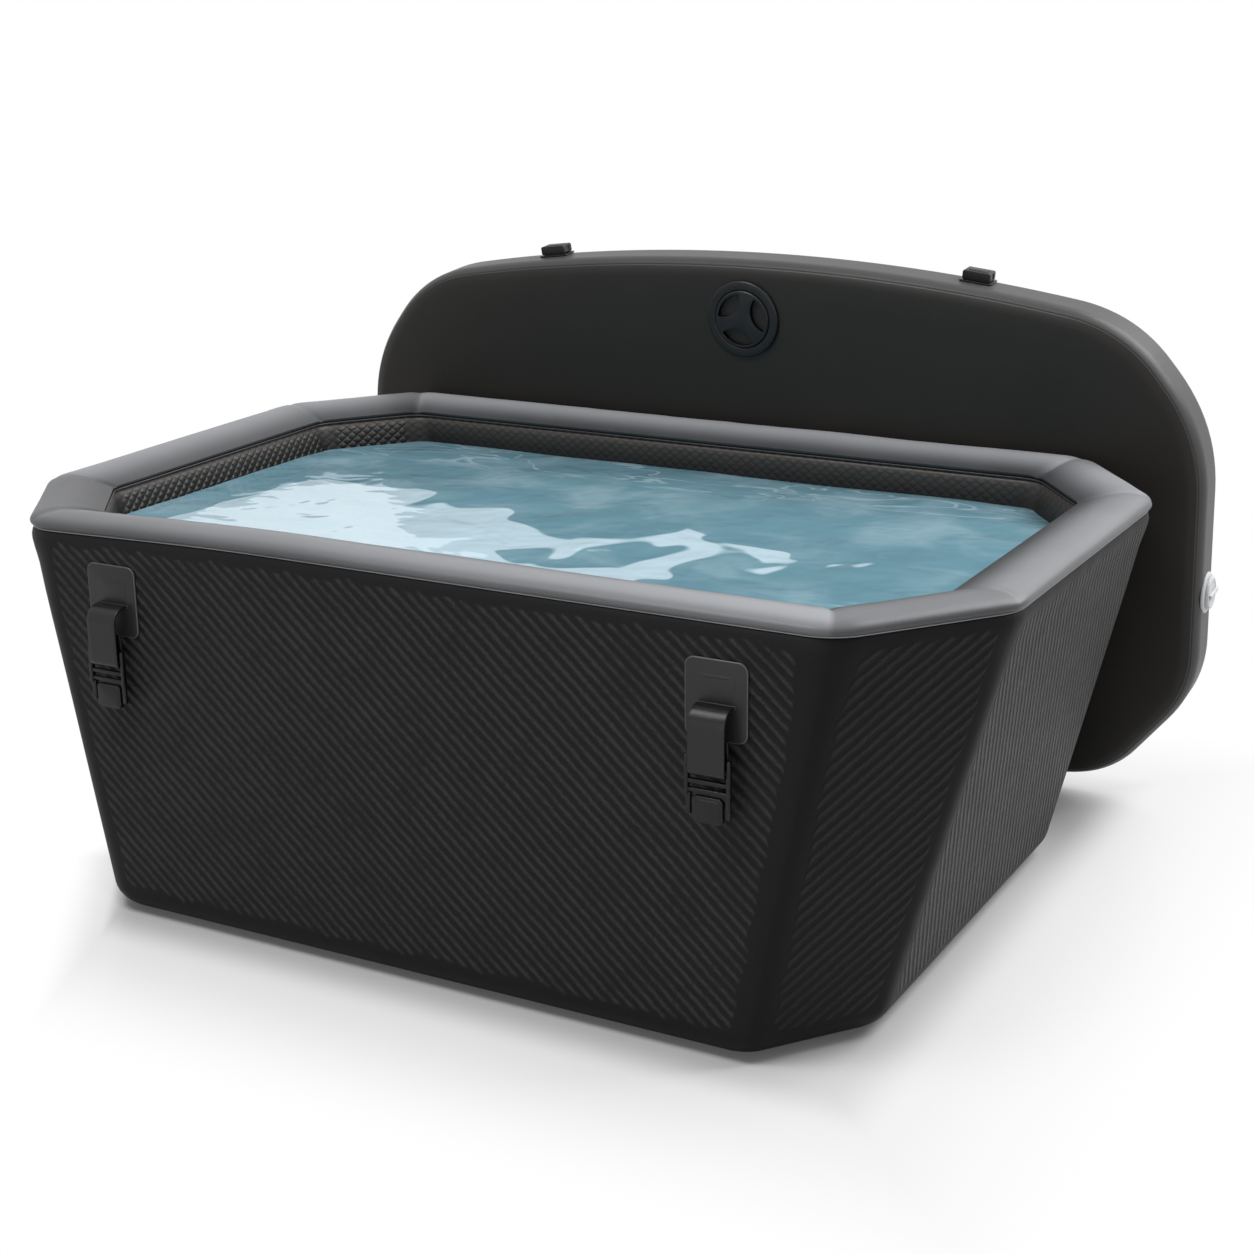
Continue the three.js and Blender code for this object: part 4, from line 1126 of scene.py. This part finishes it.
class TUB_OT_lid(TubOperator, bpy.types.Operator):
    """Build the padded lid: face and back in one finish, the edge band between their seams in another"""

    bl_idname = "tub.lid"
    bl_label = "Lid pad"

    def build(self, sizes, colours):
        outline = self.outline()
        profile = self.profile(sizes.lid_groove)
        edge = [self.ring(outline, inset, z) for inset, z, zone in profile]
        back = [self.shrunk(edge[0], share) for share in reversed(LID_FACE_RINGS)]
        front = [self.shrunk(edge[-1], share) for share in LID_FACE_RINGS]
        rings = back + edge + front
        zones = ["face"] * len(back) + [zone for inset, z, zone in profile] + ["face"] * len(front)
        piece = mesh_piece("lid_pad", sum(rings, []), capped_faces(len(rings), len(outline)))
        for polygon in piece.data.polygons:
            zone = zones[min(polygon.vertices) // len(outline)]
            polygon.material_index = 1 if zone == "band" else 0
        put(piece, lid_frame(), "lid_pad")
        face = padded_finish("lid_face", colours.lid, 0.5, 0.0002, 0.0005, 0.24)
        # The band's colour is set lighter than the face's, a painted highlight along its top
        band = padded_finish("lid_band", colours.band, 0.44, 0.0002, 0.0005, 0.32)
        dress(piece, "lid", "lid_pvc", face, band, stands_for=["lid_core", "lid_band"], angle=60)

    @staticmethod
    def bezier(start, middle, end, steps):
        shares = [k / steps for k in range(steps + 1)]
        return [start * (1 - t) ** 2 + middle * 2 * t * (1 - t) + end * t ** 2 for t in shares]

    @classmethod
    def outline(cls):
        """The lid's edge in its own plane, anticlockwise from the middle of its right end."""
        upper = cls.half_outline(*LID_UPPER_FILLETS)
        lower = cls.half_outline(*LID_LOWER_FILLETS)
        right = Vector((LID_HALF_LENGTH, 0.0))
        return [right, *upper, -right, *[-p for p in lower]]

    @classmethod
    def half_outline(cls, long_fillet, end_fillet):
        """Half of the edge from one end to the other: chamfered, rounded corners and the arch between."""
        long = Vector((LID_CORNER_X, arch_height(LID_CORNER_X)))
        end = Vector((LID_HALF_LENGTH, LID_CORNER_Y))
        slant = (end - long).normalized()
        foot = Vector((LID_HALF_LENGTH, LID_CORNER_Y - end_fillet))
        arch_x = LID_CORNER_X - long_fillet
        quarter = [Vector((LID_HALF_LENGTH, foot.y * k / 5)) for k in range(1, 5)]
        quarter += cls.bezier(foot, end, end - slant * end_fillet, 12)
        quarter += cls.bezier(long + slant * long_fillet, long, Vector((arch_x, arch_height(arch_x))), 12)
        quarter += [Vector((x, arch_height(x))) for x in (arch_x * (1 - k / 16) for k in range(1, 17))]
        return quarter + [Vector((-p.x, p.y)) for p in reversed(quarter[:-1])]

    @staticmethod
    def profile(groove):
        """Rings from the rim of the back, round the edge, to the rim of the face: (inset, height, zone)."""
        centre = (LID_EDGE, LID_HALF_THICK - LID_EDGE)
        half = [(i, z, "band") for i, z in arc(centre, LID_EDGE, 180, LID_SEAM_ANGLE, 12)]
        dip_angle = LID_SEAM_ANGLE - LID_GROOVE_ANGLE
        dip, lip = arc(centre, LID_EDGE, dip_angle, dip_angle - LID_GROOVE_ANGLE, 1)
        half.append((dip[0], dip[1] - groove, "band"))
        half.append((lip[0] + 0.0004, lip[1] - groove * 0.35, "face"))
        half += [(i, LID_HALF_THICK + crown, "face") for i, crown in LID_CROWN]
        back = [(i, -z, zone) for i, z, zone in reversed(half)]
        return back + [(0.0, z, "band") for z in LID_BAND_HEIGHTS] + half

    @staticmethod
    def shrunk(ring, share):
        return [Vector((p.x * share, p.y * share, p.z)) for p in ring]

    @staticmethod
    def ring(outline, inset, z):
        points = []
        for k, point in enumerate(outline):
            before = (point - outline[k - 1]).normalized()
            after = (outline[(k + 1) % len(outline)] - point).normalized()
            along = (before + after).normalized()
            points.append(Vector((point.x - along.y * inset, point.y + along.x * inset, z)))
        return points


class TUB_OT_sockets(TubOperator, bpy.types.Operator):
    """Build the buckle sockets on the lid's upper edge, each on its welded tab"""

    bl_idname = "tub.sockets"
    bl_label = "Buckle sockets"

    def build(self, sizes, colours):
        plastic = moulded_finish("socket_plastic", colours.plastic, 0.4)
        webbing = webbing_finish("tab_webbing", colours)
        for side, x in (("left", -SOCKET_X), ("right", SOCKET_X)):
            place = lid_frame(x, arch_height(x), 0) @ Matrix.Rotation(-math.asin(x / LID_ARCH), 4, "Z")
            shell = put(self.shell(), place, side + "_socket_shell")
            dress(shell, "lid", "black_plastic", plastic, stands_for=[side + "_buckle_socket"])
            tab = put(self.tab(), place, side + "_socket_base")
            dress(tab, "lid", "webbing", webbing, stands_for=[side + "_socket_tab"])

    @staticmethod
    def shell():
        piece = block("socket", *SOCKET_SHELL)
        with editing(piece):
            round_edges(piece, 0.003, 4, lambda e: abs(e.verts[0].co.z - e.verts[1].co.z) > 0.02)
            choose(piece, "FACE", lambda f: f.normal.z < -0.9)
            bpy.ops.mesh.inset(thickness=SOCKET_WALL, depth=0.0)
            extrude(0, 0, SOCKET_POCKET)
        for limits in SOCKET_WINDOW_SIDES:
            trim(piece, block("window", limits, *SOCKET_WINDOW), "DIFFERENCE")
        soften(piece, 0.0006, 3, 40)
        return join(piece, block("ridge", *SOCKET_RIDGE, 0.0008, 2))

    @staticmethod
    def tab():
        piece = block("tab", *SOCKET_TAB)
        with editing(piece):
            round_edges(piece, 0.005, 4, lambda e: abs(e.verts[0].co.y - e.verts[1].co.y) > 0.001)
        soften(piece, 0.0008, 2, 40)
        return piece


class TUB_OT_port(TubOperator, bpy.types.Operator):
    """Build the screw plug on the lid's face: the flanged port and its cap with three finger recesses"""

    bl_idname = "tub.port"
    bl_label = "Screw plug"

    def build(self, sizes, colours):
        place = lid_frame(0, LID_HALF_WIDTH - PORT_DOWN, LID_HALF_THICK)
        plastic = moulded_finish("plug_plastic", colours.plastic, 0.3)
        # A darker, duller finish on the recess floors as painted shade
        hollow = moulded_finish("plug_recess_painted_shade", scaled(colours.plastic, 0.4), 0.6, gloss=0.1)
        ring = put(turned("ring", PORT_RING, (0.0007, 2, 30), 96), place, "port_ring")
        dress(ring, "lid", "black_plastic", plastic, stands_for=["port_body"])
        recesses = [self.recess(math.radians(angle)) for angle in FINGER_ANGLES]
        cap = turned("cap", PORT_CAP, (0.0013, 3, 40), 96, recesses)
        # Faces on the recess floors take the darker finish, painted shade
        low, high, reach = FINGER_PAINTED_SHADE
        for polygon in cap.data.polygons:
            middle = polygon.center
            polygon.material_index = 1 if low < middle.z < high and middle.xy.length < reach else 0
        put(cap, place, "port_cap_disc")
        dress(cap, "port_cap", "black_plastic", plastic, hollow, stands_for=["port_cap"])

    @staticmethod
    def recess(angle):
        """A round finger hollow that stops at the cap's ring."""
        middle = (FINGER_OFFSET * math.cos(angle), FINGER_OFFSET * math.sin(angle), PORT_CAP_TOP)
        finger = cylinder("finger", 96, FINGER_RADIUS, 0.020, middle)
        trim(finger, cylinder("ring", 96, FINGER_RING, 0.03, (0, 0, PORT_CAP_TOP)), "INTERSECT")
        return finger


class TUB_OT_valves(TubOperator, bpy.types.Operator):
    """Build the two inflation valves: flanged body, turning cap and the stem's spring"""

    bl_idname = "tub.valves"
    bl_label = "Inflation valves"

    def build(self, sizes, colours):
        white = moulded_finish("valve_plastic", colours.white_plastic, 0.36)
        steel = steel_finish(colours)
        on_lid = lid_frame(LID_HALF_LENGTH, -LID_VALVE_DOWN, 0) @ Matrix.Rotation(math.pi / 2, 4, "Y")
        on_tub = wall_frame("left", TUB_VALVE_ALONG, TUB_VALVE_HEIGHT)
        for body, place, seat in (("lid", on_lid, LID_VALVE_SEAT), ("tub", on_tub, 0.0)):
            valve = body + "_valve"
            top = VALVE_RISE - seat
            ring = put(self.ring(top, seat), place, valve + "_ring")
            dress(ring, body, "white_plastic", white, stands_for=[valve + "_body"])
            cap = put(self.cap(top + VALVE_CAP_GAP), place, valve + "_lid")
            dress(cap, valve + "_cap", "white_plastic", white, stands_for=[valve + "_cap"])
            self.coil(valve, body, place, steel)

    @staticmethod
    def ring(top, seat):
        floor = -seat - VALVE_DEPTH
        web = -seat - VALVE_WEB_DEPTH
        return turned("ring", [
            (0.018, top), (0.0285, top), (0.0295, top - 0.0006), (0.0320, top - 0.0022),
            (0.0320, top - 0.005), (0.0230, top - 0.005), (0.0230, floor), (0.0042, floor), (0.0042, web),
            (0.0180, web), (0.018, top)])

    @staticmethod
    def cap(low):
        top = low + VALVE_CAP_RISE
        cap = turned("cap", [
            (0.0, top - 0.0006), (0.019, top - 0.0006), (0.0198, top), (0.0232, top), (0.0246, top - 0.0010),
            (0.025, top - 0.0024), (0.025, low), (0.0177, low), (0.0177, low - 0.004), (0.0, low - 0.004)])
        grip = block("grip", (-0.0215, 0.0215), (-0.0033, 0.0033), (top - 0.001, top + 0.004), 0.0016, 3)
        return join(cap, grip)

    @staticmethod
    def coil(valve, body, place, steel):
        """The spring, copied from its solid, between the valve's web and the head of its stem."""
        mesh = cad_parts[valve + "_spring"].data.copy()
        piece = new_object(valve + "_coil", mesh)
        with editing(piece):
            bpy.ops.mesh.remove_doubles(threshold=1e-6)
        origin = place.translation
        axis = place.to_3x3() @ Vector((0, 0, 1))
        depths = [axis.dot(vertex.co - origin) for vertex in mesh.vertices]
        ends = [tuple(origin + axis * depth) for depth in (min(depths), max(depths))]
        mesh.materials.clear()
        dress(piece, (body, valve + "_stem"), "spring_steel", steel, stands_for=[valve + "_spring"], angle=60,
              ends=ends)


class TUB_OT_drain(TubOperator, bpy.types.Operator):
    """Build the drain in the tub's left end: the through tube and its fluted screw cap"""

    bl_idname = "tub.drain"
    bl_label = "Drain"

    def build(self, sizes, colours):
        plastic = moulded_finish("drain_plastic", colours.plastic, 0.45)
        place = wall_frame("left", 0.0, DRAIN_HEIGHT)
        tube = put(turned("tube", DRAIN_TUBE), place, "drain_tube")
        dress(tube, "tub", "black_plastic", plastic, stands_for=["drain_body"])
        flutes = [self.flute(2 * math.pi * (k + 0.5) / FLUTES) for k in range(FLUTES)]
        cap = put(turned("cap", DRAIN_CAP, (0.0006, 2, 40), 72, flutes), place, "drain_screw_cap")
        dress(cap, "drain_cap", "black_plastic", plastic, stands_for=["drain_cap"])

    @staticmethod
    def flute(angle):
        out, middle = FLUTE_PLACE
        place = (out * math.cos(angle), out * math.sin(angle), middle)
        return cylinder("flute", 20, FLUTE_RADIUS, 0.05, place)


class TUB_OT_inner_parts(TubOperator, bpy.types.Operator):
    """Give finishes to the solids that stay as they are: base sheet, gaskets, nuts and stems"""

    bl_idname = "tub.inner_parts"
    bl_label = "Base sheet and valve parts"

    def build(self, sizes, colours):
        rubber = moulded_finish("gasket_rubber", colours.rubber, 0.7, 0.0002)
        white = moulded_finish("valve_inner_plastic", colours.white_plastic, 0.4)
        black = moulded_finish("nut_plastic", colours.plastic, 0.45)
        sheet = padded_finish("base_sheet_pvc", colours.wall, 0.55, 0.0003, 0.0006)
        finishes = {"base_sheet": sheet, "drain_nut": black}
        finishes.update({name + "_gasket": rubber for name in ("tub_valve", "lid_valve", "drain", "port")})
        for name in ("tub_valve", "lid_valve"):
            finishes[name + "_nut"] = white
            finishes[name + "_stem"] = white
        for name, finish in finishes.items():
            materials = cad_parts[name].data.materials
            materials.clear()
            materials.append(finish)


class TUB_OT_stage(TubOperator, bpy.types.Operator):
    """Set the pale floor, the studio light and the camera"""

    bl_idname = "tub.stage"
    bl_label = "Stage"

    def build(self, sizes, colours):
        self.floor()
        for lamp in LAMPS:
            self.light(*lamp)
        self.world()
        self.camera()
        bpy.context.scene.view_settings.view_transform = "Standard"

    @staticmethod
    def floor():
        """A floor that keeps the object's shadow near its footprint and fades to white away from it."""
        floor = primitive("floor", "plane", size=FLOOR_SIZE, location=(0, 0, -FLOOR_GAP))
        finish = Finish("studio_floor", (0.74, 0.74, 0.74), 0.32, 0.35)
        x, y = finish.axis("X"), finish.axis("Y")
        left = (x * -1.0 - END_REACH[0]) * LEFT_FADE
        corner = (x * -CORNER_TO_ENDS - y * CORNER_TO_LONGS - FOOTPRINT_CORNER) * LEFT_FADE
        away = (x - END_REACH[0]).most(left).most((y - FOOTPRINT_Y).size() - FOOTPRINT_HALF).most(corner)
        share = finish.fade(away, 0.0, 0.09) * 0.5 + finish.fade(away, 0.03, 0.36) * 0.45 + 0.05
        glow = finish.node("ShaderNodeEmission", inputs={"Color": WHITE, "Strength": 1.0})
        shader = Flow(finish, finish.shader.outputs[0])
        values = {0: share * finish.background_rays(), 1: shader, 2: glow}
        mixed = finish.node("ShaderNodeMixShader", inputs=values)
        finish.feed(finish.tree.nodes["Material Output"].inputs["Surface"], mixed)
        floor.data.materials.append(finish.material)

    @staticmethod
    def light(name, place, target, size, power):
        lamp = bpy.data.lights.new(name, "AREA")
        lamp.size = size
        lamp.energy = power
        aim = (Vector(target) - Vector(place)).to_track_quat("-Z", "Y")
        new_object(name, lamp).matrix_world = Matrix.Translation(place) @ aim.to_matrix().to_4x4()

    @staticmethod
    def world():
        """White where it is seen or mirrored, and a low even light on the object."""
        world = bpy.data.worlds.new("studio")
        world.use_nodes = True
        bpy.context.scene.world = world
        nodes = Nodes(world.node_tree)
        background = nodes.tree.nodes["Background"].inputs
        nodes.feed(background["Color"], WHITE)
        nodes.feed(background["Strength"], nodes.background_rays() * (1.0 - WORLD_LIGHT) + WORLD_LIGHT)

    @staticmethod
    def camera():
        lens = bpy.data.cameras.new("camera")
        lens.sensor_fit = "HORIZONTAL"
        lens.sensor_width = CAMERA_SENSOR
        lens.lens = CAMERA_LENS
        holder = new_object("camera", lens)
        turns = ((CAMERA_YAW, "Z"), (math.pi / 2 - CAMERA_PITCH, "X"), (CAMERA_ROLL, "Z"))
        yaw, pitch, roll = [Matrix.Rotation(angle, 4, axis) for angle, axis in turns]
        holder.matrix_world = Matrix.Translation(CAMERA_PLACE) @ yaw @ pitch @ roll
        bpy.context.scene.camera = holder


OPERATORS = (
    TUB_OT_walls, TUB_OT_rim, TUB_OT_water, TUB_OT_straps, TUB_OT_lid, TUB_OT_sockets, TUB_OT_port,
    TUB_OT_valves, TUB_OT_drain, TUB_OT_inner_parts, TUB_OT_stage,
)


class TUB_PT_panel(bpy.types.Panel):
    """Sizes, colours and build steps of the plunge tub"""

    bl_idname = "TUB_PT_panel"
    bl_label = "Plunge tub"
    bl_space_type = "VIEW_3D"
    bl_region_type = "UI"
    bl_category = "Plunge tub"

    def draw(self, context):
        for group in (context.scene.tub_sizes, context.scene.tub_colours):
            for name in group.__annotations__:
                self.layout.prop(group, name)
        for operator in OPERATORS:
            self.layout.operator(operator.bl_idname)


CLASSES = (TubSizes, TubColours, *OPERATORS, TUB_PT_panel)


def register():
    for cls in CLASSES:
        bpy.utils.register_class(cls)
    bpy.types.Scene.tub_sizes = bpy.props.PointerProperty(type=TubSizes)
    bpy.types.Scene.tub_colours = bpy.props.PointerProperty(type=TubColours)


def unregister():
    del bpy.types.Scene.tub_colours
    del bpy.types.Scene.tub_sizes
    for cls in reversed(CLASSES):
        bpy.utils.unregister_class(cls)


def main():
    register()
    for operator in OPERATORS:
        group, name = operator.bl_idname.split(".")
        getattr(getattr(bpy.ops, group), name)()


if __name__ == "__main__":
    main()
